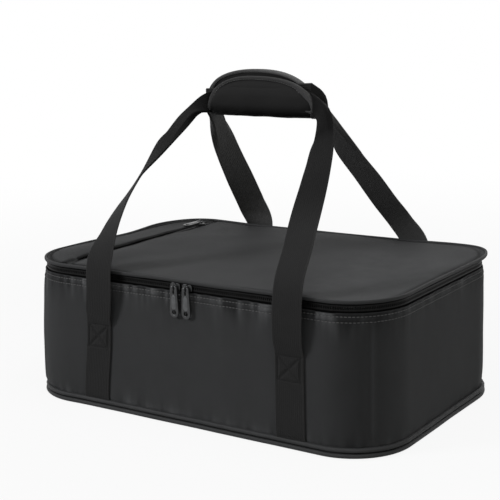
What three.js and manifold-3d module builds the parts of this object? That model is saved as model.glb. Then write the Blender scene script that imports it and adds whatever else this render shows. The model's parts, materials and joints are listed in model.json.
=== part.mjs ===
// An insulated casserole carrier: a foam-lined bag with a zipped lid and two webbing handles
// held together by a padded grip.
// Millimetres, +Z up. The origin is the middle of the base, where the bag rests, and the front faces -Y.
import * as THREE from "three";
import { mergeVertices } from "three/addons/utils/BufferGeometryUtils.js";
import Module from "manifold-3d";

const wasm = await Module();
wasm.setup();

// Driving dimensions of the bag
const bagWidth = 410;
const bagDepth = 265;
const cornerRadius = 58;
const wallTop = 131.5;
const lidTop = 142;

// Sheet and foam thicknesses, and the gap left between pieces that touch
const coverThickness = 0.8;
const wallFoamThickness = 5;
const baseFoamThickness = 5;
const lidFoamThickness = 6;
const boardThickness = 2;
const liningThickness = 0.5;
const contactGap = 0.3;

// Bottom seam: the wall stands back from the piped edge
const seamHeight = 6;
const wallSetback = 1.5;
const pipingProud = 1.8;

// Zips
const tapeThickness = 0.6;
const tapeTuck = 9.5;
const upperTapeTuck = 10;
const coilWidth = 2;
const coilHeight = 1.7;
const coilParting = 1.2;
const zipTapeShow = 2.1;
const sliderLength = 11;
const sliderWidth = 7;
const sliderPlate = 1.2;
const sliderBlade = 0.6;
const sliderClearance = 0.4;
const sliderRoom = 2;
const sliderSpacing = 13.6;
const sliderMiddle = -2;
const bailWire = 1.2;
const bailReach = 2.2;
const bailClearance = 0.8;
const pullLength = 30;
const pullTopWidth = 7.5;
const pullBottomWidth = 10;
const pullThickness = 2;
const pullHoleRadius = 2.3;

// Lid edge and the pocket in the lid
const bindingHeight = 3.1;
const bindingWidth = 2.3;
const bindingDrop = 0.1;
const pocketMargin = 59;
const pocketZipLength = 224;
const pocketTapeWidth = 9;
const pocketCoilWidth = 1.275;
const pocketCoilHeight = 1.19;
const pocketOpening = 6;
const pocketSliderAt = 97;
const pocketLinerReach = 230;
const channelDepth = 1.6;

// Webbing handles
const webbingWidth = 30;
const webbingThickness = 1.8;
const strapMargin = 93;
const strapSewnTop = 88;
const frontLeftLean = 8;
const frontRightShift = 3;
const backRightRise = 8;
const foldHeight = 18;
const foldClearance = 1.8;
const foldShare = 0.28;

// Padded grip
const gripLength = 124;
const flapHeight = 41;
const gripHeight = 46.5;
const gripThickness = 24;
const gripBottom = 281.5;
const gripShoulder = 7;
const gripCover = 1;
const gripFoam = 4;
const gripBinding = 3;
const patchLength = 80;
const patchHeight = 14;
const patchThickness = 1.2;
const patchDrop = 5;

// Facets: round each corner of the plan, the grip's arch, its fold and its bound edge with the bead's
// section there, along a leg, round the piping, along the bail, and round the small metal edges
const cornerSteps = 8;
const archSteps = 16;
const foldSteps = 8;
const boundSteps = 32;
const beadSteps = 8;
const legSteps = 26;
const pipingSteps = 6;
const bailSteps = 12;
const sliderSteps = 4;
const pullSteps = 6;

// The least share of a length or an angle that counts as a difference
const tinyShare = 0.001;

const pocketLine = pocketMargin - bagWidth / 2;
const strapSpacing = bagWidth - 2 * strapMargin;

// Insets from the outer edge of the bag to each layer of the wall
const coverInset = wallSetback;
const foamInset = coverInset + coverThickness + contactGap;
const liningInset = foamInset + wallFoamThickness + contactGap;
const innerInset = liningInset + liningThickness + contactGap;
const wallBottom = seamHeight + contactGap;
const tapeTop = wallTop + zipTapeShow - contactGap;
const tapeBottom = wallTop - tapeTuck;
const coilInset = foamInset + tapeThickness / 2 - coilWidth / 2;
const zipMiddle = tapeTop + contactGap + coilHeight + coilParting / 2;
const upperCoilBottom = zipMiddle + coilParting / 2;
const upperTapeBottom = upperCoilBottom + coilHeight + contactGap;
const lidCoverBottom = lidTop - coverThickness;
const upperTapeTop = lidCoverBottom - contactGap;
const lidFoamTop = upperTapeTop - tapeThickness - contactGap;
const bindingBottom = lidFoamTop - bindingDrop;
const lidFoamBottom = lidFoamTop - lidFoamThickness;
const sliderBackInset = coilInset + coilWidth + sliderClearance;
const lidFoamInset = sliderBackInset + sliderPlate + sliderRoom;
const hingeHalf = bagWidth / 2 - cornerRadius - contactGap;

// Finishes
const finish = (colour, roughness, metalness) =>
  new THREE.MeshStandardMaterial({ color: colour, roughness, metalness });
const coatedFabric = () => finish(0x1b1b1d, 0.55, 0);
const webbing = () => finish(0x141415, 0.8, 0);
const foam = () => finish(0xd9dcd8, 0.9, 0);
const foil = () => finish(0xb9bdc1, 0.35, 0.6);
const board = () => finish(0x2b2b2d, 0.6, 0);
const tapeCloth = () => finish(0x101011, 0.85, 0);
const coilNylon = () => finish(0x0d0d0e, 0.45, 0);
const darkMetal = () => finish(0x26262a, 0.3, 0.9);

const part = new THREE.Group();

function place(name, geometry, material, parent = part) {
  const mesh = new THREE.Mesh(geometry, material);
  mesh.name = name;
  parent.add(mesh);
  return mesh;
}

// Boolean helpers

function solidFrom(geometry) {
  const bare = geometry.clone();
  bare.deleteAttribute("normal");
  bare.deleteAttribute("uv");
  const merged = mergeVertices(bare, contactGap * tinyShare);
  const vertProperties = new Float32Array(merged.attributes.position.array);
  const triVerts = new Uint32Array(merged.index.array);
  return new wasm.Manifold(new wasm.Mesh({ numProp: 3, vertProperties, triVerts }));
}

function geometryFrom(solid) {
  const mesh = solid.getMesh();
  const geometry = new THREE.BufferGeometry();
  geometry.setAttribute("position", new THREE.BufferAttribute(mesh.vertProperties, 3));
  geometry.setIndex(new THREE.BufferAttribute(mesh.triVerts, 1));
  geometry.computeVertexNormals();
  return geometry;
}

const joined = (...pieces) =>
  geometryFrom(pieces.map(solidFrom).reduce((whole, piece) => whole.add(piece)));
const cut = (body, ...tools) =>
  geometryFrom(tools.map(solidFrom).reduce((left, tool) => left.subtract(tool), solidFrom(body)));
const common = (a, b) => geometryFrom(solidFrom(a).intersect(solidFrom(b)));

function block(low, high) {
  const size = high.map((value, axis) => value - low[axis]);
  const middle = high.map((value, axis) => (value + low[axis]) / 2);
  return new THREE.BoxGeometry(...size).translate(...middle);
}

// A closed skin over rings of points, with its two ends capped unless it closes on itself.
function loft(rings, capTriangles, closed = false) {
  const count = rings[0].length;
  const positions = rings.flat().flatMap((point) => point.toArray());
  const index = [];
  const spans = closed ? rings.length : rings.length - 1;
  for (let i = 0; i < spans; i++) {
    const near = i * count;
    const far = ((i + 1) % rings.length) * count;
    for (let j = 0; j < count; j++) {
      const k = (j + 1) % count;
      index.push(near + j, far + j, far + k, near + j, far + k, near + k);
    }
  }
  if (!closed) {
    const last = (rings.length - 1) * count;
    for (const [a, b, c] of capTriangles) {
      index.push(a, b, c);
      index.push(last + a, last + c, last + b);
    }
  }
  const geometry = new THREE.BufferGeometry();
  geometry.setAttribute("position", new THREE.Float32BufferAttribute(positions, 3));
  geometry.setIndex(signedVolume(positions, index) < 0 ? index.reverse() : index);
  geometry.computeVertexNormals();
  return geometry;
}

function signedVolume(positions, index) {
  const corner = (i) => new THREE.Vector3().fromArray(positions, 3 * index[i]);
  let sum = 0;
  for (let i = 0; i < index.length; i += 3) {
    sum += corner(i).dot(corner(i + 1).cross(corner(i + 2)));
  }
  return sum;
}

// Plan outline of the bag, as stations. Each holds the centre of its corner arc and the way out
// from there. Every layer has its corners cut into the same facets, so that gaps stay even.
const quarter = Math.PI / 2;
const halfTurn = 2 * quarter;
const wholeTurn = 4 * quarter;
const facet = quarter / cornerSteps;

function wayOut(facing) {
  const before = Math.floor(facing / facet + tinyShare) * facet;
  const unit = (angle) => new THREE.Vector2(Math.cos(angle), Math.sin(angle));
  return unit(before).lerp(unit(before + facet), (facing - before) / facet);
}

function stationsBetween(start, end) {
  const stations = [];
  const tiny = facet * tinyShare;
  const first = Math.floor((start + tiny) / quarter);
  const last = Math.ceil((end - tiny) / quarter) - 1;
  for (let corner = first; corner <= last; corner++) {
    const middle = corner * quarter + quarter / 2;
    const x = Math.sign(Math.cos(middle)) * (bagWidth / 2 - cornerRadius);
    const y = Math.sign(Math.sin(middle)) * (bagDepth / 2 - cornerRadius);
    const from = Math.max(start, corner * quarter);
    const to = Math.min(end, (corner + 1) * quarter);
    const angles = [from];
    for (let i = 1; i < cornerSteps; i++) {
      const angle = corner * quarter + i * facet;
      if (angle > from + tiny && angle < to - tiny) angles.push(angle);
    }
    angles.push(to);
    angles.forEach((angle) => stations.push({ x, y, out: wayOut(angle) }));
  }
  return stations;
}

const around = ({ x, y, out }, reach, z) => new THREE.Vector3(x + reach * out.x, y + reach * out.y, z);

// Sweeps a section, a list of [inset, height] corners, along the plan outline.
function alongWall(section, start, end, closed = false) {
  const profile = section.map(([inset, z]) => new THREE.Vector2(-inset, z));
  if (THREE.ShapeUtils.isClockWise(profile)) profile.reverse();
  const caps = THREE.ShapeUtils.triangulateShape(profile, []);
  const rings = stationsBetween(start, end).map((station) =>
    profile.map((corner) => around(station, cornerRadius + corner.x, corner.y)),
  );
  return loft(rings, caps, closed);
}

const rectangle = (inset, width, bottom, top) => [
  [inset, bottom],
  [inset + width, bottom],
  [inset + width, top],
  [inset, top],
];

const allRound = [-quarter, wholeTurn - quarter];
const ring = (section) => alongWall(section, ...allRound, true);

// The zip runs from the back left corner round the front to the back right corner.
const zipRun = [-halfTurn - quarter, quarter];

// A flat sheet with the plan outline of the bag, inset all round.
function sheet(inset, bottom, thickness) {
  const corners = stationsBetween(...allRound).map((station) => around(station, cornerRadius - inset, 0));
  const options = { depth: thickness, bevelEnabled: false };
  return new THREE.ExtrudeGeometry(new THREE.Shape(corners), options).translate(0, 0, bottom);
}

// Base: a cover, a stiff board, foam and lining, inside the piped bottom seam
function buildBase() {
  const boardBottom = coverThickness + contactGap;
  const foamBottom = boardBottom + boardThickness + contactGap;
  const liningBottom = foamBottom + baseFoamThickness + contactGap;
  place("base_outer_panel", sheet(innerInset, 0, coverThickness), coatedFabric());
  place("base_board", sheet(innerInset, boardBottom, boardThickness), board());
  place("base_foam", sheet(innerInset, foamBottom, baseFoamThickness), foam());
  place("base_lining", sheet(innerInset, liningBottom, liningThickness), foil());
  place("base_piping", ring(pipingSection()), coatedFabric());
}

// The piping is a rounded bead on the outside, with the seam allowance turned in behind it.
function pipingSection() {
  const bead = seamHeight / 2;
  const inner = innerInset - contactGap;
  const section = [
    [inner, 0],
    [inner, seamHeight],
  ];
  for (let i = 0; i <= pipingSteps; i++) {
    const turn = quarter - (halfTurn * i) / pipingSteps;
    section.push([bead - pipingProud - bead * Math.cos(turn), bead + bead * Math.sin(turn)]);
  }
  return section;
}

// Walls: four cover panels that meet at seams down the corners, foam behind each, one lining
function buildWalls() {
  const sides = ["front", "right", "back", "left"];
  const seam = contactGap / 2 / (cornerRadius - foamInset);
  sides.forEach((side, i) => {
    const start = (i - 1) * quarter - quarter / 2 + seam;
    const end = start + quarter - 2 * seam;
    const cover = rectangle(coverInset, coverThickness, wallBottom, wallTop);
    place(`${side}_wall_panel`, alongWall(cover, start, end), coatedFabric());
    place(`${side}_wall_foam`, alongWall(wallFoamSection(), start, end), foam());
  });
  const liner = rectangle(liningInset, liningThickness, wallBottom, wallTop);
  place("wall_lining", ring(liner), foil());
}

// The foam is stepped at the top, where the zip tape is sewn in behind the cover.
function wallFoamSection() {
  const back = foamInset + wallFoamThickness;
  const step = foamInset + tapeThickness + contactGap;
  const shelf = tapeBottom - contactGap;
  return [
    [foamInset, wallBottom],
    [back, wallBottom],
    [back, wallTop],
    [step, wallTop],
    [step, shelf],
    [foamInset, shelf],
  ];
}

// A zip chain's bead: a rounded strip with flat faces towards its tape and its mate
function coilSection(bottom) {
  const nose = coilHeight / 3;
  const top = bottom + coilHeight;
  return [
    [coilInset, bottom + nose],
    [coilInset + nose, bottom],
    [coilInset + coilWidth - nose, bottom],
    [coilInset + coilWidth, bottom + nose],
    [coilInset + coilWidth, top - nose],
    [coilInset + coilWidth - nose, top],
    [coilInset + nose, top],
    [coilInset, top - nose],
  ];
}

function buildLowerZip() {
  const tape = rectangle(foamInset, tapeThickness, tapeBottom, tapeTop);
  place("lower_zip_tape", alongWall(tape, ...zipRun), tapeCloth());
  const coil = coilSection(tapeTop + contactGap);
  place("lower_zip_coil", alongWall(coil, ...zipRun), coilNylon());
  const back = bagDepth / 2 - coverInset;
  const low = [-hingeHalf, back - coverThickness, wallTop + contactGap];
  const high = [hingeHalf, back, bindingBottom - contactGap];
  place("lid_hinge_strip", block(low, high), coatedFabric());
}

// Lid: cover in two panels either side of the pocket zip, liner, foam, lining and a bound edge

function buildLid() {
  const half = pocketOpening / 2;
  const cover = sheet(foamInset, lidCoverBottom, coverThickness);
  const low = lidCoverBottom - coverThickness;
  const high = lidTop + coverThickness;
  const across = (from, to) => block([from, -bagDepth, low], [to, bagDepth, high]);
  const mainCut = across(-bagWidth, pocketLine + half);
  const stripCut = across(pocketLine - half, bagWidth);
  place("lid_main_panel", cut(cover, mainCut), coatedFabric());
  place("lid_pocket_strip", cut(cover, stripCut), coatedFabric());
  place("lid_binding", ring(bindingSection()), coatedFabric());
  place("lid_foam", lidFoam(), foam());
  const liningBottom = lidFoamBottom - contactGap - liningThickness;
  place("lid_lining", sheet(lidFoamInset, liningBottom, liningThickness), foil());
  place("lid_pocket_liner", pocketLiner(), tapeCloth());
}

// The binding is a folded tape, rounded over its outer edge.
function bindingSection() {
  const round = bindingWidth / 2;
  const middle = bindingBottom + bindingHeight / 2;
  const tall = bindingHeight / 2 - round / 2;
  return [
    [bindingWidth, bindingBottom],
    [bindingWidth, bindingBottom + bindingHeight],
    [round, bindingBottom + bindingHeight],
    [round / 4, middle + tall],
    [0, middle],
    [round / 4, middle - tall],
    [round, bindingBottom],
  ];
}

// The foam has a shallow channel under the pocket zip, for the back of its slider.
function lidFoam() {
  const width = sliderWidth + 2 * pocketOpening;
  const length = pocketZipLength / 2 + sliderLength;
  const floor = lidFoamTop - channelDepth;
  const low = [pocketLine - width / 2, -length, floor];
  const high = [pocketLine + width / 2, length, lidFoamTop + channelDepth];
  return cut(sheet(lidFoamInset, lidFoamBottom, lidFoamThickness), block(low, high));
}

function pocketLiner() {
  const bottom = lidFoamTop + contactGap;
  const start = pocketLine + pocketTapeWidth + coilParting + contactGap;
  const inset = foamInset + upperTapeTuck + contactGap;
  const liner = sheet(inset, bottom, liningThickness);
  const low = bottom - liningThickness;
  const high = bottom + 2 * liningThickness;
  const kept = block([start, -bagDepth, low], [start + pocketLinerReach, bagDepth, high]);
  return common(liner, kept);
}

// The tape's edge hangs from the lid, and the rest is turned in under the cover.
function buildUpperZip() {
  const under = upperTapeTop - tapeThickness;
  const tape = [
    [foamInset, upperTapeBottom],
    [foamInset + tapeThickness, upperTapeBottom],
    [foamInset + tapeThickness, under],
    [foamInset + upperTapeTuck, under],
    [foamInset + upperTapeTuck, upperTapeTop],
    [foamInset, upperTapeTop],
  ];
  place("upper_zip_tape", alongWall(tape, ...zipRun), tapeCloth());
  place("upper_zip_coil", alongWall(coilSection(upperCoilBottom), ...zipRun), coilNylon());
}

function buildPocketZip() {
  const under = upperTapeTop - tapeThickness;
  const coilBottom = upperTapeTop + contactGap;
  const length = pocketZipLength / 2;
  const parting = coilParting / 2;
  [-1, 1].forEach((side) => {
    const word = side < 0 ? "left" : "right";
    const edge = pocketLine + side * parting;
    const strip = (reach, bottom, top) => {
      const far = edge + side * reach;
      return block([Math.min(edge, far), -length, bottom], [Math.max(edge, far), length, top]);
    };
    const tape = strip(pocketTapeWidth, under, upperTapeTop);
    const coil = strip(pocketCoilWidth, coilBottom, coilBottom + pocketCoilHeight);
    place(`pocket_zip_tape_${word}`, tape, tapeCloth());
    place(`pocket_zip_coil_${word}`, coil, coilNylon());
  });
}

// Zip sliders. In a slider's own frame +Z stands out of the zip and the pull hangs along -Y.

function sliderPlateShape(width, length) {
  const shape = new THREE.Shape();
  const round = Math.min(width, length) / 3;
  const x = width / 2;
  const y = length / 2;
  shape.moveTo(-x + round, -y);
  shape.lineTo(x - round, -y);
  shape.absarc(x - round, -y + round, round, -quarter, 0, false);
  shape.absarc(x - round, y - round, round, 0, quarter, false);
  shape.absarc(-x + round, y - round, round, quarter, halfTurn, false);
  shape.absarc(-x + round, -y + round, round, halfTurn, halfTurn + quarter, false);
  return shape;
}

// The bail is an arch of wire across the slider, under which the pull's crossbar lies.
function bail(frontFace) {
  const wire = bailWire / 2;
  const reach = bailReach + pullThickness / 2 + bailClearance + wire;
  const half = pullThickness / 2 + bailClearance + bailWire;
  const path = new THREE.CatmullRomCurve3([
    new THREE.Vector3(0, -half, frontFace - sliderPlate / 2),
    new THREE.Vector3(0, -half, frontFace + reach / 2),
    new THREE.Vector3(0, 0, frontFace + reach),
    new THREE.Vector3(0, half, frontFace + reach / 2),
    new THREE.Vector3(0, half, frontFace - sliderPlate / 2),
  ]);
  const section = new THREE.Shape().absarc(0, 0, wire, 0, wholeTurn, false);
  return new THREE.ExtrudeGeometry(section, { steps: bailSteps, extrudePath: path, curveSegments: sliderSteps });
}

// The plates lie either side of the chain and are joined by the blade that parts it.
function sliderBody(width, length, bladeAlongX, frontGap, backGap) {
  const options = { depth: sliderPlate, bevelEnabled: false, curveSegments: sliderSteps };
  const plate = (z) => new THREE.ExtrudeGeometry(sliderPlateShape(width, length), options).translate(0, 0, z);
  const thin = sliderBlade / 2;
  const x = bladeAlongX ? width / 3 : thin;
  const y = bladeAlongX ? thin : length / 3;
  const overlap = sliderPlate / 2;
  const low = [-x, -y, -backGap - overlap];
  const blade = block(low, [x, y, frontGap + overlap]);
  return joined(plate(frontGap), plate(-backGap - sliderPlate), blade, bail(frontGap + sliderPlate));
}

// The pull is a tapered tongue with a slot at the bail and a round hole at its tip.
function pullGeometry() {
  const bar = pullThickness / 2;
  const tip = pullBottomWidth / 2;
  const shape = new THREE.Shape();
  const top = pullTopWidth / 2;
  const end = bar - pullLength;
  shape.moveTo(-top, bar - top / 2);
  shape.lineTo(-tip, end + tip);
  shape.absarc(0, end + tip, tip, halfTurn, wholeTurn, false);
  shape.lineTo(top, bar - top / 2);
  shape.lineTo(top / 2, bar);
  shape.lineTo(-top / 2, bar);
  const slot = new THREE.Path();
  const slotHalf = bailWire / 2 + sliderClearance;
  const slotEnd = -bar - 2 * bailReach - bailWire;
  slot.moveTo(-slotHalf, -bar);
  slot.lineTo(slotHalf, -bar);
  slot.lineTo(slotHalf, slotEnd);
  slot.lineTo(-slotHalf, slotEnd);
  const hole = new THREE.Path().absarc(0, end + tip, pullHoleRadius, 0, wholeTurn, true);
  shape.holes.push(slot, hole);
  const options = { depth: pullThickness, bevelEnabled: false, curveSegments: pullSteps };
  return new THREE.ExtrudeGeometry(shape, options).translate(0, 0, -bar);
}

// A slider and its pull share a group, so that both stand on the zip by one placing.
function placeSlider(names, group, body, frontGap) {
  place(names.body, body, darkMetal(), group);
  const pull = pullGeometry().translate(0, 0, frontGap + sliderPlate + bailReach);
  place(names.pull, pull, darkMetal(), group);
  part.add(group);
}

function buildSliders() {
  const chainHalf = coilWidth / 2 + sliderClearance;
  [-1, 1].forEach((side) => {
    const word = sideWord(side);
    const group = new THREE.Group();
    group.rotation.x = quarter;
    const y = -(bagDepth / 2 - coilInset - coilWidth / 2);
    group.position.set(sliderMiddle + (side * sliderSpacing) / 2, y, zipMiddle);
    const body = sliderBody(sliderLength, sliderWidth, true, chainHalf, chainHalf);
    placeSlider({ body: `zip_slider_${word}`, pull: `zip_pull_${word}` }, group, body, chainHalf);
  });
  const group = new THREE.Group();
  const coilTop = pocketCoilHeight + contactGap + sliderClearance;
  const tapeDepth = tapeThickness + sliderClearance;
  group.position.set(pocketLine, pocketSliderAt, upperTapeTop);
  const body = sliderBody(sliderWidth, sliderLength, false, coilTop, tapeDepth);
  placeSlider({ body: "pocket_slider", pull: "pocket_pull" }, group, body, coilTop);
}

// Handles. Each is one length of webbing, sewn flat to the wall up to strapSewnTop, free above,
// and folded in half lengthwise inside the grip.

const strapFace = bagDepth / 2 - coverInset + contactGap + webbingThickness / 2;
const gripEnd = gripLength / 2 + contactGap;
const foldThickness = (webbingWidth * webbingThickness) / foldHeight;
const foldBottom = gripBottom + gripCover + gripFoam + foldClearance;
const foldMiddle = foldBottom + foldHeight / 2;
const foldOffset = foldThickness / 2 + contactGap;

// How each leg runs, as rows of shares: how far it is on the way across, inwards and up from its
// sewn end to the grip, and then the way its width lies there.
const legShares = {
  front_left: [
    [0, 0, 0, 1, 0, 0],
    [0.19, -0.04, 0.15, 1, 0, 0],
    [0.23, -0.05, 0.31, 1, 0, 0],
    [0.26, 0.07, 0.44, 0.94, -0.29, 0.19],
    [0.27, 0.25, 0.56, 0.84, -0.36, 0.4],
    [0.33, 0.44, 0.66, 0.78, -0.54, 0.32],
    [0.54, 0.62, 0.78, 0.92, -0.39, 0.1],
    [0.71, 0.82, 0.89, 0.9, -0.21, -0.3],
    [1, 1, 1, 0, 0, -1],
  ],
  front_right: [
    [0, 0, 0, 1, 0, 0],
    [-0.05, -0.04, 0.16, 1, 0, 0],
    [-0.09, -0.05, 0.32, 1, -0.03, 0],
    [-0.06, 0.1, 0.46, 0.99, 0.02, 0.1],
    [0.04, 0.29, 0.58, 0.98, 0.12, 0.15],
    [0.17, 0.49, 0.7, 0.97, 0.08, 0.21],
    [0.35, 0.67, 0.8, 0.87, 0, 0.49],
    [0.63, 0.84, 0.9, 0.59, -0.24, 0.77],
    [1, 1, 1, 0, 0, 1],
  ],
  back_left: [
    [0, 0, 0, 1, 0, 0],
    [0.14, -0.05, 0.13, 1, 0, 0],
    [0.33, -0.05, 0.25, 0.95, 0.2, 0],
    [0.3, 0.01, 0.37, 0.72, 0.54, 0.44],
    [0.38, 0.18, 0.49, 0.6, 0.64, 0.47],
    [0.52, 0.39, 0.62, 0.42, 0.68, 0.6],
    [0.68, 0.6, 0.75, 0.31, 0.72, 0.62],
    [0.84, 0.8, 0.88, 0.09, 0.73, 0.68],
    [1, 1, 1, 0, 0, 1],
  ],
  back_right: [
    [0, 0, 0, 1, 0, 0],
    [0.11, -0.05, 0.12, 1, 0, 0],
    [0.25, -0.05, 0.23, 1, 0, 0.1],
    [0.45, 0, 0.34, 0.92, -0.07, 0.38],
    [0.6, 0.15, 0.45, 0.98, 0.02, 0.21],
    [0.7, 0.35, 0.57, 0.99, -0.02, 0.17],
    [0.79, 0.57, 0.71, 0.99, -0.06, 0.11],
    [0.76, 0.83, 0.89, 0.62, 0.12, 0.77],
    [1, 1, 1, 0, 0, 1],
  ],
};

// For the left and the right leg: how far its foot stands off the even spacing, how far it leans
// over its sewn length, and how much higher it leaves the grip.
const handles = [
  { name: "front", side: -1, shift: [0, frontRightShift], lean: [frontLeftLean, 0], rise: [0, 0] },
  { name: "back", side: 1, shift: [0, 0], lean: [0, 0], rise: [0, backRightRise] },
];

const sideWord = (sideX) => (sideX < 0 ? "left" : "right");

// How far along X a leg's sewn end lies; climb is 0 at its lower end and 1 at its top.
function footOf(handle, sideX, climb) {
  const i = sideX < 0 ? 0 : 1;
  return sideX * (strapSpacing / 2) + handle.shift[i] + handle.lean[i] * climb;
}

function foldEnd(handle, sideX, reach) {
  const up = foldMiddle + handle.rise[sideX < 0 ? 0 : 1];
  return new THREE.Vector3(sideX * reach, handle.side * foldOffset, up);
}

function legCurves(handle, sideX) {
  const foot = new THREE.Vector3(footOf(handle, sideX, 1), handle.side * strapFace, strapSewnTop);
  foot.z += contactGap;
  const way = foldEnd(handle, sideX, gripEnd).sub(foot);
  const rows = legShares[`${handle.name}_${sideWord(sideX)}`];
  const places = rows.map((row) => way.clone().multiply(new THREE.Vector3(...row)).add(foot));
  const widths = rows.map((row) => new THREE.Vector3(...row.slice(3)));
  return [new THREE.CatmullRomCurve3(places), new THREE.CatmullRomCurve3(widths)];
}

// Four corners of a strip's section, about its centre.
function stripRing(centre, across, face, halfWidth, halfThickness) {
  const corner = (a, b) =>
    centre.clone().addScaledVector(across, a * halfWidth).addScaledVector(face, b * halfThickness);
  return [corner(-1, -1), corner(1, -1), corner(1, 1), corner(-1, 1)];
}

const stripCaps = [
  [0, 1, 2],
  [0, 2, 3],
];

// Lofts the webbing along its path, folding in half lengthwise as it enters the grip.
function legGeometry(handle, sideX) {
  const [path, width] = legCurves(handle, sideX);
  const rings = [];
  for (let i = 0; i <= legSteps; i++) {
    const share = i / legSteps;
    const fold = THREE.MathUtils.smoothstep(share, 1 - foldShare, 1);
    const tangent = path.getTangent(share);
    if (i === 0) tangent.set(0, 0, 1);
    if (i === legSteps) tangent.set(-sideX, 0, 0);
    const across = width.getPoint(share);
    across.addScaledVector(tangent, -across.dot(tangent)).normalize();
    const face = new THREE.Vector3().crossVectors(tangent, across);
    const halfWidth = THREE.MathUtils.lerp(webbingWidth / 2, foldHeight / 2, fold);
    const halfThickness = (webbingWidth * webbingThickness) / (4 * halfWidth);
    rings.push(stripRing(path.getPoint(share), across, face, halfWidth, halfThickness));
  }
  return loft(rings, stripCaps);
}

// The sewn-down end is a flat strip on the wall, from the bottom seam up.
function anchorGeometry(handle, sideX) {
  const across = new THREE.Vector3(1, 0, 0);
  const face = new THREE.Vector3(0, 1, 0);
  const rings = [wallBottom, strapSewnTop - contactGap].map((z, climb) => {
    const centre = new THREE.Vector3(footOf(handle, sideX, climb), handle.side * strapFace, z);
    return stripRing(centre, across, face, webbingWidth / 2, webbingThickness / 2);
  });
  return loft(rings, stripCaps);
}

// Inside the grip the folded webbing runs straight from one leg to the other.
function foldGeometry(handle) {
  const up = new THREE.Vector3(0, 0, 1);
  const face = new THREE.Vector3(0, 1, 0);
  const rings = [-1, 1].map((sideX) =>
    stripRing(foldEnd(handle, sideX, gripLength / 2), up, face, foldHeight / 2, foldThickness / 2),
  );
  return loft(rings, stripCaps);
}

function buildHandles() {
  for (const handle of handles) {
    for (const sideX of [-1, 1]) {
      const word = sideWord(sideX);
      place(`${handle.name}_${word}_strap_anchor`, anchorGeometry(handle, sideX), webbing());
      place(`${handle.name}_handle_${word}_leg`, legGeometry(handle, sideX), webbing());
    }
    place(`${handle.name}_handle_fold`, foldGeometry(handle), webbing());
  }
}

// Grip: a padded wrap folded up round both handles. The back half and the fold stay on the back
// handle, and the front half is a flap that opens about the fold.

const gripTurn = gripThickness / 2;
const foldLine = gripBottom + gripTurn;
const flapInset = gripBinding + contactGap;
const foamOffset = gripCover + contactGap;
const wrapThickness = foamOffset + gripFoam;

// The wrap's outline seen from the front: straight below, arched above.
function gripOutline(inset, height) {
  const half = gripLength / 2;
  const base = gripBottom - gripTurn;
  const shoulder = gripBottom + gripShoulder;
  const rise = height - gripShoulder - inset;
  const shape = new THREE.Shape();
  shape.moveTo(-half + inset, base);
  shape.lineTo(half - inset, base);
  shape.lineTo(half - inset, shoulder);
  shape.absellipse(0, shoulder, half - inset, rise, 0, halfTurn, false, 0);
  const options = { depth: 2 * gripThickness, bevelEnabled: false, curveSegments: archSteps };
  const prism = new THREE.ExtrudeGeometry(shape, options);
  return prism.rotateX(quarter).translate(0, gripThickness, 0);
}

// One layer of the back half: down the back, round the fold and up to the fold line in front.
function backLayer(offset, thickness) {
  const outer = gripTurn - offset;
  const inner = outer - thickness;
  const top = gripHeight - gripTurn;
  const shape = new THREE.Shape();
  shape.moveTo(outer, top);
  shape.lineTo(inner, top);
  shape.lineTo(inner, 0);
  shape.absarc(0, 0, inner, 0, -halfTurn, true);
  shape.lineTo(-outer, 0);
  shape.absarc(0, 0, outer, -halfTurn, 0, false);
  const options = { depth: gripLength, bevelEnabled: false, curveSegments: foldSteps };
  const layer = new THREE.ExtrudeGeometry(shape, options);
  const stood = new THREE.Matrix4().makeBasis(
    new THREE.Vector3(0, 1, 0),
    new THREE.Vector3(0, 0, 1),
    new THREE.Vector3(1, 0, 0),
  );
  return layer.applyMatrix4(stood).translate(-gripLength / 2, 0, foldLine);
}

function flapLayer(offset, thickness) {
  const outer = -gripTurn + offset;
  const low = [-gripLength / 2, outer, foldLine + contactGap];
  return block(low, [gripLength / 2, outer + thickness, gripBottom + flapHeight]);
}

// A rounded bead round the arched edge of one half, from shoulder to shoulder.
function edgeBinding(side, bottom, height) {
  const half = gripLength / 2 - gripBinding / 2;
  const shoulder = gripBottom + gripShoulder;
  const rise = height - gripShoulder - gripBinding / 2;
  const y = side * (gripTurn - wrapThickness / 2);
  const start = Math.asin(Math.min(1, Math.max(0, bottom - shoulder) / rise));
  const rings = [];
  for (let i = 0; i <= boundSteps; i++) {
    const turn = start + ((halfTurn - 2 * start) * i) / boundSteps;
    const out = new THREE.Vector3(rise * Math.cos(turn), 0, half * Math.sin(turn)).normalize();
    const centre = new THREE.Vector3(half * Math.cos(turn), y, shoulder + rise * Math.sin(turn));
    if (centre.z < bottom) centre.z = bottom;
    const section = [];
    for (let j = 0; j < beadSteps; j++) {
      const angle = (j * wholeTurn + halfTurn) / beadSteps;
      const point = centre.clone().addScaledVector(out, (gripBinding / 2) * Math.cos(angle));
      point.y += (wrapThickness / 2) * Math.sin(angle);
      section.push(point);
    }
    rings.push(section);
  }
  const fan = [];
  for (let j = 1; j < beadSteps - 1; j++) fan.push([0, j, j + 1]);
  return loft(rings, fan);
}

// Hook and loop patches face each other under the arched edges.
function patch(side) {
  const face = gripTurn - wrapThickness - contactGap;
  const top = gripBottom + flapHeight - flapInset - patchDrop;
  const near = side * face;
  const far = side * (face - patchThickness);
  const low = [-patchLength / 2, Math.min(near, far), top - patchHeight];
  return block(low, [patchLength / 2, Math.max(near, far), top]);
}

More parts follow.
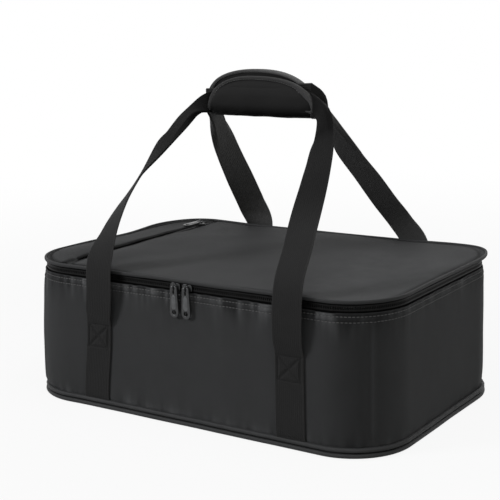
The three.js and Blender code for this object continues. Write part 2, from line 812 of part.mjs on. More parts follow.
function buildGrip() {
  const back = gripOutline(flapInset, gripHeight);
  place("grip_back_cover", common(backLayer(0, gripCover), back), coatedFabric());
  place("grip_back_foam", common(backLayer(foamOffset, gripFoam), back), foam());
  const shoulder = gripBottom + gripShoulder;
  place("grip_back_binding", edgeBinding(1, shoulder, gripHeight), webbing());
  place("grip_loop_patch", patch(1), tapeCloth());
  const flap = gripOutline(flapInset, flapHeight);
  place("grip_flap_cover", common(flapLayer(0, gripCover), flap), coatedFabric());
  place("grip_flap_foam", common(flapLayer(foamOffset, gripFoam), flap), foam());
  place("grip_flap_binding", edgeBinding(-1, foldLine + contactGap, flapHeight), webbing());
  place("grip_hook_patch", patch(-1), tapeCloth());
}

buildBase();
buildWalls();
buildLowerZip();
buildLid();
buildUpperZip();
buildPocketZip();
buildSliders();
buildHandles();
buildGrip();

export default part;
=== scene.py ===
# %% [markdown]
# # An insulated casserole carrier
#
# The real thing is a soft box of coated cloth over foam, with a zipped lid, a piped bottom edge and
# two webbing handles that a padded grip holds together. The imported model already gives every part
# its place. This lesson dresses it: each soft part is modelled again with the sag, seams and
# stitches that cloth has, and rides on the body that carries it.

import json
import math

import bpy
import numpy as np
from mathutils import Matrix, Vector, noise

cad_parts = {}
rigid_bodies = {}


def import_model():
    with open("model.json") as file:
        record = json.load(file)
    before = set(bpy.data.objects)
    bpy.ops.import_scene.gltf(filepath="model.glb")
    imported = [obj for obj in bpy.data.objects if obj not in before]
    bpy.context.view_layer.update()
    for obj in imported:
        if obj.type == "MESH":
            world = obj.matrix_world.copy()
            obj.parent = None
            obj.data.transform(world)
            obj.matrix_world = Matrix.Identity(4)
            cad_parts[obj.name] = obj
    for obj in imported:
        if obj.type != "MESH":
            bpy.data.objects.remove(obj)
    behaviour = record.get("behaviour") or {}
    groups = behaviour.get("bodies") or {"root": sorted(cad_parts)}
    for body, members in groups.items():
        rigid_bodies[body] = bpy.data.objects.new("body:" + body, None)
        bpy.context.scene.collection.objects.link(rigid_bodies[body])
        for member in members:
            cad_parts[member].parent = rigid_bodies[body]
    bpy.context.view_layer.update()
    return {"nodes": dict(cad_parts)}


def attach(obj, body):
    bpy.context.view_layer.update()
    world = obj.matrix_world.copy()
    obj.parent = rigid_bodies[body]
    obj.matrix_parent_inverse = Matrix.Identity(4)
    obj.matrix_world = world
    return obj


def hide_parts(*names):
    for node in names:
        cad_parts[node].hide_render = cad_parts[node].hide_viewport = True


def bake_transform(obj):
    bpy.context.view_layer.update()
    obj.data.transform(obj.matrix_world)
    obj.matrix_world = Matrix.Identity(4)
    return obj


for leftover in list(bpy.data.objects):
    bpy.data.objects.remove(leftover)
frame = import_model()
bpy.ops.object.select_all(action="DESELECT")
mm = 0.001

# %% [markdown]
# ## Camera, floor and light
#
# The camera stands where the photograph was taken from: in front, a third of the way round to the
# right and a little above. A camera is placed by three directions, its right, its up and its back,
# so the slight tilt of the picture is a turn of the first two.

# %% Camera
camera_place = Vector((0.6658, -1.0054, 0.4058))
camera_aim = Vector((-0.0129, 0, 0.14485))
camera_tilt = math.radians(-1.489)

bpy.ops.object.camera_add()
camera = bpy.context.object
camera.name = "photo_camera"
back = (camera_place - camera_aim).normalized()
right = Vector((0, 0, 1)).cross(back).normalized()
up = back.cross(right)
tilted_right = right * math.cos(camera_tilt) + up * math.sin(camera_tilt)
tilted_up = up * math.cos(camera_tilt) - right * math.sin(camera_tilt)
camera_turn = Matrix((tilted_right, tilted_up, back)).transposed().to_4x4()
camera.matrix_world = Matrix.Translation(camera_place) @ camera_turn
camera.data.lens = 87.78
camera.data.sensor_width = 36
bpy.context.scene.camera = camera
print("camera", round((camera_place - camera_aim).length, 3), "m from its aim")

# %% [markdown]
# Shader sums read best as sums. `Wire` wraps one output of a node, so `1 - mask` or `a * b` adds the
# Math node for it, and `Recipe.node` adds any other kind of node from its settings and inputs.

# %% Shader tools
class Wire:
    """One output of a node. A sum written with it adds the Math nodes."""

    def __init__(self, recipe, socket):
        self.recipe, self.socket = recipe, socket

    def maths(self, operation, *values):
        return self.recipe.node("ShaderNodeMath", {"operation": operation}, dict(enumerate(values)))

    def __add__(self, other):
        return self.maths("ADD", self, other)

    def __sub__(self, other):
        return self.maths("SUBTRACT", self, other)

    def __rsub__(self, other):
        return self.maths("SUBTRACT", other, self)

    def __mul__(self, other):
        return self.maths("MULTIPLY", self, other)

    __radd__, __rmul__ = __add__, __mul__


class Recipe:
    """The nodes of one finish."""

    def __init__(self, tree):
        self.tree = tree

    def node(self, kind, settings=None, inputs=None, output=0):
        made = self.tree.nodes.new(kind)
        for key, value in (settings or {}).items():
            setattr(made, key, value)
        for key, value in (inputs or {}).items():
            self.join(value, made.inputs[key])
        return Wire(self, made.outputs[output])

    def join(self, value, socket):
        if isinstance(value, Wire):
            self.tree.links.new(value.socket, socket)
        else:
            socket.default_value = value


def grey(tone, warmth=0.0):
    """A near neutral colour; warmth above 0 leans to red and below 0 to blue."""
    return (tone * (1 + warmth), tone, tone * (1 - warmth), 1)


uv_place, object_place = 2, 3  # which output of a Texture Coordinate node
print("shader tools ready")

# %% [markdown]
# The floor and the backdrop are white to the eye and to reflections, by asking the Light Path what
# kind of ray looks at them. Near the bag the floor keeps a share of plain diffuse, which carries the
# shadow, and further out it only glows.

# %% Floor and backdrop
def seen(recipe):
    """1 for rays that look at the studio: from the camera, a mirror or glass."""
    path = recipe.node("ShaderNodeLightPath")
    names = ("Is Camera Ray", "Is Glossy Ray", "Is Transmission Ray")
    rays = [Wire(recipe, path.socket.node.outputs[name]) for name in names]
    return rays[0].maths("MAXIMUM", rays[0].maths("MAXIMUM", rays[0], rays[1]), rays[2])


fill_light = 0.32
floor_glow, glow_start, glow_end = 0.9, 0.4, 1.6
world = bpy.data.worlds.new("studio")
bpy.context.scene.world = world
world.use_nodes = True
sky = Recipe(world.node_tree)
backdrop = world.node_tree.nodes["Background"]
sky.join(grey(1.0), backdrop.inputs["Color"])
sky.join(seen(sky) * (1 - fill_light) + fill_light, backdrop.inputs["Strength"])

bpy.ops.mesh.primitive_plane_add(size=14, location=(0, 0, -0.4 * mm))
floor = bpy.context.object
floor.name = "studio_floor"
floor_material = bpy.data.materials.new("pale_floor")
floor_material.use_nodes = True
paper = Recipe(floor_material.node_tree)
paper_shader = floor_material.node_tree.nodes["Principled BSDF"]
paper.join(grey(0.5), paper_shader.inputs["Base Color"])
paper.join(0.9, paper_shader.inputs["Roughness"])
glow = paper.node("ShaderNodeEmission", inputs={"Color": grey(1.0), "Strength": 1.0})
where = paper.node("ShaderNodeTexCoord", output=object_place)
far = paper.node("ShaderNodeVectorMath", {"operation": "LENGTH"}, {0: where}, output=1)
fade = paper.node(
    "ShaderNodeMapRange",
    {"interpolation_type": "SMOOTHSTEP"},
    {0: far, 1: glow_start, 2: glow_end, 3: floor_glow, 4: 1.0},
)
plain = Wire(paper, paper_shader.outputs[0])
lit = paper.node("ShaderNodeMixShader", inputs={0: seen(paper) * fade, 1: plain, 2: glow})
paper.join(lit, floor_material.node_tree.nodes["Material Output"].inputs["Surface"])
floor.data.materials.append(floor_material)
print("floor and backdrop ready")

# %% [markdown]
# A softbox at the front left is the key: in the photograph each handle throws its shadow to the
# right. A larger and weaker one hangs over the lid, one behind draws the far edges out of the white,
# and a faint warm one at the right keeps that side readable.

# %% Lamps
lamp_aim = Vector((0, 0, 0.12))


def softbox(name, place, size, watts, colour=(1, 1, 1)):
    bpy.ops.object.light_add(type="AREA", location=place)
    lamp = bpy.context.object
    lamp.name = name
    lamp.data.size, lamp.data.energy, lamp.data.color = size, watts, colour
    lamp.rotation_mode = "QUATERNION"
    lamp.rotation_quaternion = (Vector(place) - lamp_aim).to_track_quat("Z", "Y")


softbox("key_softbox", (-1.5, -1.9, 1.35), 0.7, 50, (0.98, 0.98, 1))
softbox("top_softbox", (0.5, -0.3, 1.6), 1.3, 15)
softbox("rear_softbox", (0.4, 2.4, 1.0), 1.4, 9)
softbox("side_softbox", (2.0, -1.0, 0.5), 1.2, 4, (1, 0.97, 0.82))
print("four softboxes")

# %% [markdown]
# ## A way to lay cloth
#
# Most pieces here are sheets, tubes or pads that follow a line. Each starts as a grid primitive, and
# its points are then moved onto rows of places, the way a sheet is laid over a form. The grid's UVs
# are set to real distances, so that a weave has the right size wherever the cloth goes. Tubes and
# pads are welded along their seam and closed at the ends, and sheets get their thickness from
# Solidify. All places are in millimetres, as on a maker's drawing.

# %% The lay helper
smooth_angle, metal_angle = math.radians(50), math.radians(38)


def spaced(distances):
    """Running totals, starting at nothing."""
    return np.concatenate([[0.0], np.cumsum(distances)])


def pick(*pieces):
    """Selects these pieces and nothing else, with the first as the active one."""
    bpy.ops.object.select_all(action="DESELECT")
    for piece in pieces:
        piece.select_set(True)
        bpy.context.view_layer.objects.active = pieces[0]


def open_mesh():
    """Opens the active mesh for editing, with all of it selected."""
    bpy.ops.object.mode_set(mode="EDIT")
    bpy.ops.mesh.select_all(action="SELECT")


def close_mesh():
    bpy.ops.object.mode_set(mode="OBJECT")
    return bpy.context.object


def store_wear_and_painted_light(mesh, values):
    """Keeps how rubbed the cloth or metal is at each point, with painted light where raised and painted
    shade below 0.
    """
    wear_and_painted_light_value = mesh.attributes.new("wear_and_painted_light", "FLOAT", "POINT")
    wear_and_painted_light_value.data.foreach_set("value", np.array(values, np.float32).ravel())


def lay(name, places, closed=False, thickness=0.0, wear_and_painted_light=None):
    """A grid laid over rows of places; thickness goes behind it, or in front where it is negative."""
    grid = np.array([[tuple(place) for place in row] for row in places], float)
    rows, columns = grid.shape[:2]
    pick()
    bpy.ops.mesh.primitive_grid_add(
        x_subdivisions=columns - 1, y_subdivisions=rows - 1, size=1, calc_uvs=True
    )
    piece = bpy.context.object
    piece.name = piece.data.name = name
    mesh = piece.data
    mesh.vertices.foreach_set("co", (grid * mm).ravel())
    across = spaced(np.linalg.norm(np.diff(grid, axis=1), axis=2).mean(0)) * mm
    along = spaced(np.linalg.norm(np.diff(grid, axis=0), axis=2).mean(1)) * mm
    corners = np.zeros(len(mesh.loops), int)
    mesh.loops.foreach_get("vertex_index", corners)
    uv = np.stack([across[corners % columns], along[corners // columns]], 1)
    mesh.uv_layers[0].data.foreach_set("uv", uv.astype(np.float32).ravel())
    if wear_and_painted_light is not None:
        store_wear_and_painted_light(mesh, wear_and_painted_light)
    open_mesh()
    bpy.ops.mesh.remove_doubles(threshold=2e-6)
    if closed:
        bpy.ops.mesh.fill_holes(sides=0)
        bpy.ops.mesh.select_all(action="SELECT")
        bpy.ops.mesh.normals_make_consistent(inside=False)
    close_mesh()
    if thickness:
        thicken = piece.modifiers.new("cloth thickness", "SOLIDIFY")
        thicken.thickness = abs(thickness) * mm
        thicken.offset = -1 if thickness > 0 else 1
        bpy.ops.object.modifier_apply(modifier=thicken.name)
    bpy.ops.object.shade_smooth_by_angle(angle=smooth_angle)
    return piece


def dress(piece, finish, body=None, stands_for=()):
    """Gives a finished piece its material, the body that carries it and the nodes that it replaces."""
    piece.data.materials.clear()
    piece.data.materials.append(finish)
    if body:
        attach(piece, body)
    if stands_for:
        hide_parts(*stands_for)
    print(f"{piece.name}: {len(piece.data.polygons)} faces")
    return piece


# %% [markdown]
# A tube is a section carried along a spine. Each stop of the spine is a centre with the two
# directions that the section is drawn in.

# %% Tubes, soft steps and ripples
def tube(name, spine, section):
    """Carries a section, a list of (a, b), along a spine of (centre, way of a, way of b)."""
    ring = list(section) + [section[0]]
    return lay(name, [[c + p * a + q * b for a, b in ring] for c, p, q in spine], closed=True)


def ease(value, low=0.0, high=1.0):
    """A soft step from 0 at low to 1 at high."""
    share = min(1.0, max(0.0, (value - low) / (high - low)))
    return share * share * (3 - 2 * share)


def hill(value, middle, width):
    return math.exp(-(((value - middle) / width) ** 2))


def ripple(x, y, z=0.0, size=1.0):
    """Smooth unevenness, about -0.5 to 0.5, with humps as wide as size."""
    return noise.noise(Vector((x, y, z)) / size)


def oval(half_width, half_height, count=12, square=0.75):
    """A rounded section; square below 1 makes it boxier."""
    turns = [2 * math.pi * i / count for i in range(count)]
    firm = lambda value: math.copysign(abs(value) ** square, value)
    return [(half_width * firm(math.cos(t)), half_height * firm(math.sin(t))) for t in turns]


print("cloth tools ready")

# %% [markdown]
# ## The plan of the bag
#
# Everything on the bag follows one plan: a rectangle with round corners. `outline` walks round it
# from the middle of the front, anticlockwise seen from above, and gives the point and the way out.
# `plan` steps inwards from there, past the corner centres to the middle, for whole floors and lids.

# %% Plan outline
bag_width, bag_depth, corner_radius = 410, 265, 58
front_half = bag_width / 2 - corner_radius
side_half = bag_depth / 2 - corner_radius
corner_arc = corner_radius * math.pi / 2
round_trip = 4 * (front_half + side_half + corner_arc)
zip_reach = front_half + 2 * side_half + 2 * corner_arc
straights = (front_half, 2 * side_half, 2 * front_half, 2 * side_half)
corner_signs = ((1, -1), (1, 1), (-1, 1), (-1, -1))


def outline(s):
    """The point s round the plan, its way out, and the corner centre behind it."""
    s %= round_trip
    for turn, (side_x, side_y) in enumerate(corner_signs):
        start = (turn - 1) * math.pi / 2
        centre = Vector((side_x * front_half, side_y * side_half, 0))
        if s <= straights[turn]:
            out = Vector((math.cos(start), math.sin(start), 0))
            base = centre - Vector((-math.sin(start), math.cos(start), 0)) * (straights[turn] - s)
            return base + out * corner_radius, out, base
        s -= straights[turn]
        if s <= corner_arc:
            angle = start + s / corner_radius
            out = Vector((math.cos(angle), math.sin(angle), 0))
            return centre + out * corner_radius, out, centre
        s -= corner_arc
    base = Vector((s - front_half, -side_half, 0))
    return base - Vector((0, corner_radius, 0)), Vector((0, -1, 0)), base


def plan(s, inset, z):
    """A point inset from the outline; past the corner centres it runs on to the middle."""
    point, out, base = outline(s)
    if inset <= corner_radius:
        spot = point - out * inset
    else:
        spot = base * (1 - (inset - corner_radius) / side_half)
    spot.z = z
    return spot


def edge_distance(x, y):
    """How far inside the outline a point is."""
    over_x, over_y = abs(x) - front_half, abs(y) - side_half
    return corner_radius - (math.hypot(max(over_x, 0), max(over_y, 0)) + min(max(over_x, over_y), 0))


def round_ripple(s, z, seed, size, squeeze=1.0):
    """Unevenness that joins up round the bag; squeeze below 1 draws it out along the height."""
    point = outline(s)[0]
    return ripple(point.x, point.y, z * squeeze + seed * 97, size)


def stops(start, end, pitch):
    return [float(s) for s in np.linspace(start, end, max(2, round(abs(end - start) / pitch)) + 1)]


def apart(s, other):
    """The distance from s to other, the short way round."""
    return (s - other + round_trip / 2) % round_trip - round_trip / 2


def slump(s):
    """How far the soft foot of the bag has spread at its front left and back right corners."""
    return 5.0 * hill(apart(s, -208), 0, 50) + 1.0 * hill(apart(s, 424), 0, 50)


once_round = stops(0, round_trip, 3)
print(f"outline {round_trip:.0f} mm, zip {2 * zip_reach:.0f} mm")

# %% [markdown]
# ## Finishes
#
# The shell is black oxford cloth with a thin soft coating: a fine square weave under a satin skin
# that catches light at a low angle. The weave follows the UVs, which are real distances. Slow
# unevenness in tone and gloss comes from Object coordinates. A value stored on the points greys
# the places that hands and tables rub, and also pales others as painted light; below 0 it is
# painted shade, which darkens folds, furrows and recesses that light seldom reaches.

# %% Coated cloth
def even(recipe, size, detail=3.0):
    """Soft noise from 0 to 1, with patches about as wide as size in metres."""
    where = recipe.node("ShaderNodeTexCoord", output=object_place)
    inputs = {"Vector": where, "Scale": 1 / size, "Detail": detail}
    return recipe.node("ShaderNodeTexNoise", inputs=inputs)


def threads(recipe, across, along):
    """Sine ridges across and along the cloth, each at its pitch in metres."""
    where = recipe.node("ShaderNodeTexCoord", output=uv_place)
    split = recipe.node("ShaderNodeSeparateXYZ", inputs={0: where})
    waves = []
    for channel, pitch in enumerate((across, along)):
        turn = Wire(recipe, split.socket.node.outputs[channel]) * (2 * math.pi / pitch)
        waves.append(turn.maths("SINE", turn))
    return waves


def wear_and_painted_light_at(recipe):
    """The value of wear and painted light stored on the points; below 0 it is painted shade."""
    return recipe.node("ShaderNodeAttribute", {"attribute_name": "wear_and_painted_light"}, output=2)


def blend_tones(recipe, share, low, high):
    inputs = {0: share, 6: low, 7: high}
    return recipe.node("ShaderNodeMix", {"data_type": "RGBA"}, inputs, output=2)


def new_finish(name):
    material = bpy.data.materials.new(name)
    material.use_nodes = True
    return material, Recipe(material.node_tree)


def coat(material, recipe, colour, rough, height, strength, distance, values=None):
    """Joins a finish's colour, roughness and relief, and sets the values that are even all over."""
    skin = material.node_tree.nodes["Principled BSDF"].inputs
    recipe.join(colour, skin["Base Color"])
    recipe.join(rough, skin["Roughness"])
    for socket, value in (values or {}).items():
        skin[socket].default_value = value
    relief = {"Strength": strength, "Distance": distance, "Height": height}
    recipe.join(recipe.node("ShaderNodeBump", inputs=relief), skin["Normal"])
    return material


oxford_pitch = 0.0007


def coated_cloth(name, tone=0.03, rough=0.6, gloss=0.1, warmth=0.0):
    material, recipe = new_finish(name)
    over, under = threads(recipe, oxford_pitch, oxford_pitch)
    weave = over * under
    patches = even(recipe, 0.045)
    creases = even(recipe, 0.016, 5.0)
    wear_and_painted_light_value = wear_and_painted_light_at(recipe)
    shade = patches * 0.5 + creases * 0.2 + weave * 0.08 + 0.15
    cloth = blend_tones(recipe, shade, grey(tone * 0.78, warmth), grey(tone * 1.25, warmth))
    # Painted shade: where the stored value is below 0 the cloth goes nearly black.
    cloth = blend_tones(recipe, wear_and_painted_light_value * -1, cloth, grey(tone * 0.05, warmth))
    # Above 0 the cloth greys: wear, and painted light where the value was raised for it.
    cloth = blend_tones(recipe, wear_and_painted_light_value * creases, cloth, grey(tone * 4.5, warmth))
    satin = patches * 0.12 + creases * 0.08 + wear_and_painted_light_value * 0.08 + (rough - 0.1)
    height = weave * 0.11 + creases * 0.9 + patches * 1.6
    return coat(material, recipe, cloth, satin, height, 0.5, 0.0006, {"Specular IOR Level": gloss})


shell_cloth = coated_cloth("coated_cloth", gloss=0.025, warmth=-0.02)
# The lid's cut is paler than the wall's: painted light on the lid's lit top.
lit_lid_cloth = coated_cloth("coated_cloth_lid_painted_light", tone=0.042, rough=0.62, gloss=0.015, warmth=-0.015)
# The grip's cut is much darker than the wall's: painted shade.
shaded_grip_cloth = coated_cloth("coated_cloth_grip_painted_shade", tone=0.0105, rough=0.66, gloss=0.05)
bound_cloth = coated_cloth("bound_edge_cloth", tone=0.024, rough=0.55, gloss=0.07, warmth=-0.02)
piping_cloth = coated_cloth("piping_cloth", tone=0.024, rough=0.5, gloss=0.07, warmth=-0.02)
print("coated cloth in five cuts")

# %% [markdown]
# Webbing is heavier: ribs run along it, and the weft crosses them in a staggered twill. Binding tape
# is ribbed the other way, across its width, as grosgrain is. Zip tape is a fine knit.

# %% Webbing, binding and zip tape
def woven_tape(name, across, along, tone, rough=0.75, depth=0.0004, gloss=0.1, sheen=0.015):
    material, recipe = new_finish(name)
    ribs, weft = threads(recipe, across, along)
    stagger = ribs * weft
    fuzz = even(recipe, 0.0025, 4.0)
    patches = even(recipe, 0.03)
    wear_and_painted_light_value = wear_and_painted_light_at(recipe)
    shade = ribs * 0.08 + stagger * 0.1 + patches * 0.3 + fuzz * 0.25 + 0.2
    yarn = blend_tones(recipe, shade, grey(tone * 0.55), grey(tone * 1.4))
    # Painted shade: where the stored value is below 0 the tape goes nearly black.
    yarn = blend_tones(recipe, wear_and_painted_light_value * -1, yarn, grey(tone * 0.05))
    # Above 0 the tape greys: worn edges, and painted light on the back legs' inner face and the grip
    # binding's arch.
    yarn = blend_tones(recipe, wear_and_painted_light_value * (fuzz * 0.4 + 0.35), yarn, grey(tone * 5))
    dull = patches * 0.1 + fuzz * 0.1 + (rough - 0.1)
    height = ribs * 0.5 + stagger * 0.5 + fuzz * 0.6
    values = {"Specular IOR Level": gloss, "Sheen Weight": sheen, "Sheen Roughness": 0.45}
    return coat(material, recipe, yarn, dull, height, 0.6, depth, values)


strap_webbing = woven_tape("strap_webbing", 0.0021, 0.0016, 0.014, depth=0.0003, gloss=0.07)
grip_tape = woven_tape("grip_binding_tape", 0.0012, 0.0011, 0.026, rough=0.6, gloss=0.16)
# The zip tape is black; its tone is taken darker still as painted shade for the recessed zip band and the
# pocket's slit.
zip_cloth_darkened_for_shade = woven_tape(
    "zip_tape_cloth", 0.0008, 0.0011, 0.0025, rough=0.85, depth=0.0002, gloss=0.015, sheen=0.0
)
thread = woven_tape("sewing_thread", 0.0006, 0.0005, 0.085, rough=0.5, depth=0.0002, gloss=0.08)
dark_thread = woven_tape(
    "dark_sewing_thread", 0.0006, 0.0005, 0.007, rough=0.6, depth=0.0002, gloss=0.12
)
print("webbing, binding, zip tape and thread")

# %% [markdown]
# The hidden layers show when the lid is open or a piece is looked at alone: silver foil that crinkles
# as it bends, pale closed-cell foam, and dark pressed board. The sliders are black enamel on metal,
# and the coil is dark nylon. The two grip patches are a mat of hooks and a mat of loops.

# %% Foil, foam, board, metal, nylon and fastener patches
def cells(recipe, scale, **settings):
    """Round cells, so many to a metre."""
    where = recipe.node("ShaderNodeTexCoord", output=object_place)
    return recipe.node("ShaderNodeTexVoronoi", settings, {"Vector": where, "Scale": scale})


def crinkled_foil(name):
    material, recipe = new_finish(name)
    folds = cells(recipe, 70.0, feature="DISTANCE_TO_EDGE")
    over, under = threads(recipe, 0.004, 0.004)
    soft = even(recipe, 0.03, 4.0)
    fine = even(recipe, 0.006, 4.0)
    silver = blend_tones(recipe, soft, grey(0.23), grey(0.34, -0.01))
    satin = fine * 0.22 + 0.3
    height = folds.maths("MINIMUM", folds * 6, 1.0) + soft * 1.5 + fine * 0.5 + over * under * 0.1
    return coat(material, recipe, silver, satin, height, 0.55, 0.0012, {"Metallic": 0.85})


def cell_foam(name):
    material, recipe = new_finish(name)
    bubbles = cells(recipe, 900.0)
    soft = even(recipe, 0.02)
    pale = blend_tones(recipe, soft * 0.6 + bubbles * 0.4, grey(0.5, 0.01), grey(0.72))
    return coat(material, recipe, pale, soft * 0.1 + 0.82, bubbles, 0.5, 0.0004)


def pressed_board(name):
    material, recipe = new_finish(name)
    fibres = even(recipe, 0.0018, 6.0)
    patches = even(recipe, 0.05)
    shade = fibres * 0.6 + patches * 0.4
    dark = blend_tones(recipe, shade, grey(0.02, 0.05), grey(0.06, 0.08))
    return coat(material, recipe, dark, fibres * 0.2 + 0.65, fibres, 0.4, 0.0003)


def enamelled_metal(name, tone):
    material, recipe = new_finish(name)
    wash = even(recipe, 0.004, 4.0)
    scuff = even(recipe, 0.0009, 5.0)
    wear_and_painted_light_value = wear_and_painted_light_at(recipe)
    shade = wash * 0.5 + scuff * 0.5
    black = blend_tones(recipe, shade, grey(tone * 0.4, -0.03), grey(tone * 1.6, -0.02))
    black = blend_tones(recipe, wear_and_painted_light_value * (wash * 0.7 + 0.4), black, grey(tone * 9, -0.03))
    shine = wash * 0.16 + scuff * 0.1 + 0.2
    values = {"Metallic": 0.75, "Specular IOR Level": 0.25}
    values |= {"Coat Weight": 0.12, "Coat Roughness": 0.2}
    return coat(material, recipe, black, shine, scuff, 0.15, 0.0002, values)


def moulded_nylon(name):
    material, recipe = new_finish(name)
    flow = even(recipe, 0.003, 3.0)
    # Black nylon, taken darker still as painted shade for the teeth in the recessed zip band and the slit.
    black = blend_tones(recipe, flow, grey(0.002), grey(0.009))
    values = {"Specular IOR Level": 0.07}
    return coat(material, recipe, black, flow * 0.2 + 0.34, flow, 0.2, 0.0002, values)


def fastener_mat(name, tone, size, strength):
    material, recipe = new_finish(name)
    tufts = cells(recipe, 1 / size)
    fluff = even(recipe, size * 0.7, 5.0)
    shade = tufts * 0.5 + fluff * 0.5
    black = blend_tones(recipe, shade, grey(tone * 0.4), grey(tone * 1.8))
    dull, height = fluff * 0.1 + 0.85, tufts + fluff * 0.5
    return coat(material, recipe, black, dull, height, strength, 0.0008, {"Sheen Weight": 0.3})


foil = crinkled_foil("foil_lining")
foam = cell_foam("closed_cell_foam")
board = pressed_board("pressed_board")
enamel = enamelled_metal("black_enamel", 0.02)
nylon_darkened_for_shade = moulded_nylon("coil_nylon_darkened_for_shade")
hook_mat = fastener_mat("hook_mat", 0.02, 0.0016, 0.9)
loop_mat = fastener_mat("loop_mat", 0.014, 0.0007, 0.7)
print("seven more finishes")

# %% [markdown]
# ## Base
#
# The bag stands on a cover over a stiff board, with foam and foil above. The board is rigid and
# plain, so the model's own node stays and only gets its finish. The soft layers are laid in rings
# from the outline to the middle, and a closed ring of such rows is a pad.

# %% Base layers
pad_round, foil_round = stops(0, round_trip, 8), stops(0, round_trip, 5)


def slab(name, profile, spread=0.0):
    """A pad through a profile of (inset, height), from the middle below to the middle on top."""
    rows = []
    for inset, z in profile:
        share = spread * ease(inset, 50, 10)
        rows.append([plan(s, inset - share * slump(s), z) for s in pad_round])
    return lay(name, rows, closed=True)


middle_inset = bag_depth / 2
base_cover = slab(
    "base_cover",
    [(middle_inset, 0.5), (100, 0.45), (60, 0.3), (30, 0.1), (12, 0), (7.5, 0.1), (7.2, 0.5), (7.5, 0.9)]
    + [(12, 1.0), (60, 1.0), (middle_inset, 1.0)],
    spread=1.0,
)
dress(base_cover, shell_cloth, "bag", ["base_outer_panel"])
frame["nodes"]["base_board"].data.materials.clear()
frame["nodes"]["base_board"].data.materials.append(board)
base_pad = slab(
    "base_pad",
    [(middle_inset, 3.4), (60, 3.4), (10.2, 3.4), (9.1, 3.9), (8.8, 6), (9.2, 7.9), (11, 8.4)]
    + [(60, 8.5), (middle_inset, 8.5)],
)
dress(base_pad, foam, "bag", ["base_foam"])


def foil_sheet(name, profile, upward):
    """A crinkled sheet of foil, laid by rings; its folds grow towards the middle."""
    side = 1 if upward else -1
    rows = []
    for inset, z in profile:
        row = [plan(s, inset, z) for s in foil_round]
        for spot in row:
            if not upward:
                spot.z += rim_shift(spot.x, spot.y)[1] * ease(z, 133.7, 139.4) * 0.8
            fold = ripple(spot.x, spot.y, z, 34) * 1.1 + ripple(spot.x, spot.y, 7, 13) * 0.5
            spot.z += side * fold * ease(inset, 9, 20)
        rows.append(row)
    return lay(name, rows if upward else rows[::-1], thickness=foil_thickness)


foil_thickness = 0.4
inset_steps = [9, 11, 14, 18, 23, 29, 36, 43, 50, 58, 66, 75, 84, 93, 102, 111, 119, 126, 130]
inset_steps.append(middle_inset)
base_foil = foil_sheet("base_foil", [(8.9, 9.9), (9.1, 9.5)] + [(i, 9.3) for i in inset_steps], True)
dress(base_foil, foil, "bag", ["base_lining"])

# %% [markdown]
# The bottom seam is piped: a strip of cloth is folded round a cord and caught between wall and base.
# Above the bead, the same strip is turned up over the wall's raw edge and the ends of the straps. So
# two soft lobes show with a stitch line sunk between them, and the plan outline carries both round.

# %% Piping
def lobe(inset, z, wide, tall, start, end):
    """One round of the piping's section, from angle to angle in steps of 15 degrees."""
    turns = [math.radians(a) for a in range(start, end + 1, 15)]
    return [(inset - wide * math.cos(t), z + tall * math.sin(t)) for t in turns]


bead, turn_up = lobe(1.3, 2.75, 3.0, 2.7, -90, 60), lobe(1.0, 7.6, 2.3, 2.3, -60, 90)
piping_section = bead + [(0.75, 5.35)] + turn_up + [(4.2, 9.2), (8.3, 5.6), (8.3, 0.5)]
# The lobes' fronts are paler, and painted shade darkens the sunk stitch line between them.
piping_wear_and_painted_light = [0.0] * 4 + [0.18] * 5 + [-0.5] * 5 + [0.15] * 6 + [0.0] * 7
turn_up_foot, hidden_inset = 6, 5
piping_rows = []
for s in stops(0, round_trip, 2.4):
    sag, gather = 0.35 * round_ripple(s, 0, 3, 40), 0.5 * round_ripple(s, 0, 8, 6)
    row = []
    for inset, z in piping_section:
        proud = (sag + gather * (z > turn_up_foot)) * (inset < hidden_inset)
        row.append(plan(s, inset - slump(s) - proud, z))
    piping_rows.append(row + row[:1])
piping = lay("bottom_piping", piping_rows, closed=True, wear_and_painted_light=[piping_wear_and_painted_light] * len(piping_rows))
dress(piping, piping_cloth, "bag", ["base_piping"])

# %% [markdown]
# ## Wall
#
# The wall is one loft of cloth round the whole bag, not four plates. Its form is a sum of small
# things that the maker and gravity did: a belly between the seams, a tuck above the piping, a crease
# down each corner where two panels meet, furrows where the stitch rows pull in, and puckers that fan
# out under them. All of them are added to how far the cloth stands off the plan.

# %% Wall form
wall_setback, wall_low, wall_high = 1.5, 6.3, 131.5
cover_thickness = 0.8
seams = [front_half + corner_arc / 2 + i for i in (0, 2 * side_half + corner_arc)]
seams += [round_trip - s for s in seams]
stitch_rows = (128.3, 123.2)


def pucker(s, z):
    """The gathers that a stitch row draws in the cloth, steep near the row and fading away from it."""
    top = math.exp(-max(0.0, wall_high - z) / 9) * ease(wall_high - z, 0, 1.5)
    foot = 0.22 * math.exp(-max(0.0, z - 10) / 7) * ease(z, 7, 11)
    fine = 1.35 * round_ripple(s, z, 1, 4.5, 0.2)
    broad = 1.7 * round_ripple(s, z, 5, 11, 0.12)
    taut = 1 - 0.65 * hill(apart(s, 310), 0, 85)
    return (top + foot) * (fine + broad) * (1 + 0.8 * round_ripple(s, 0, 23, 50)) * taut


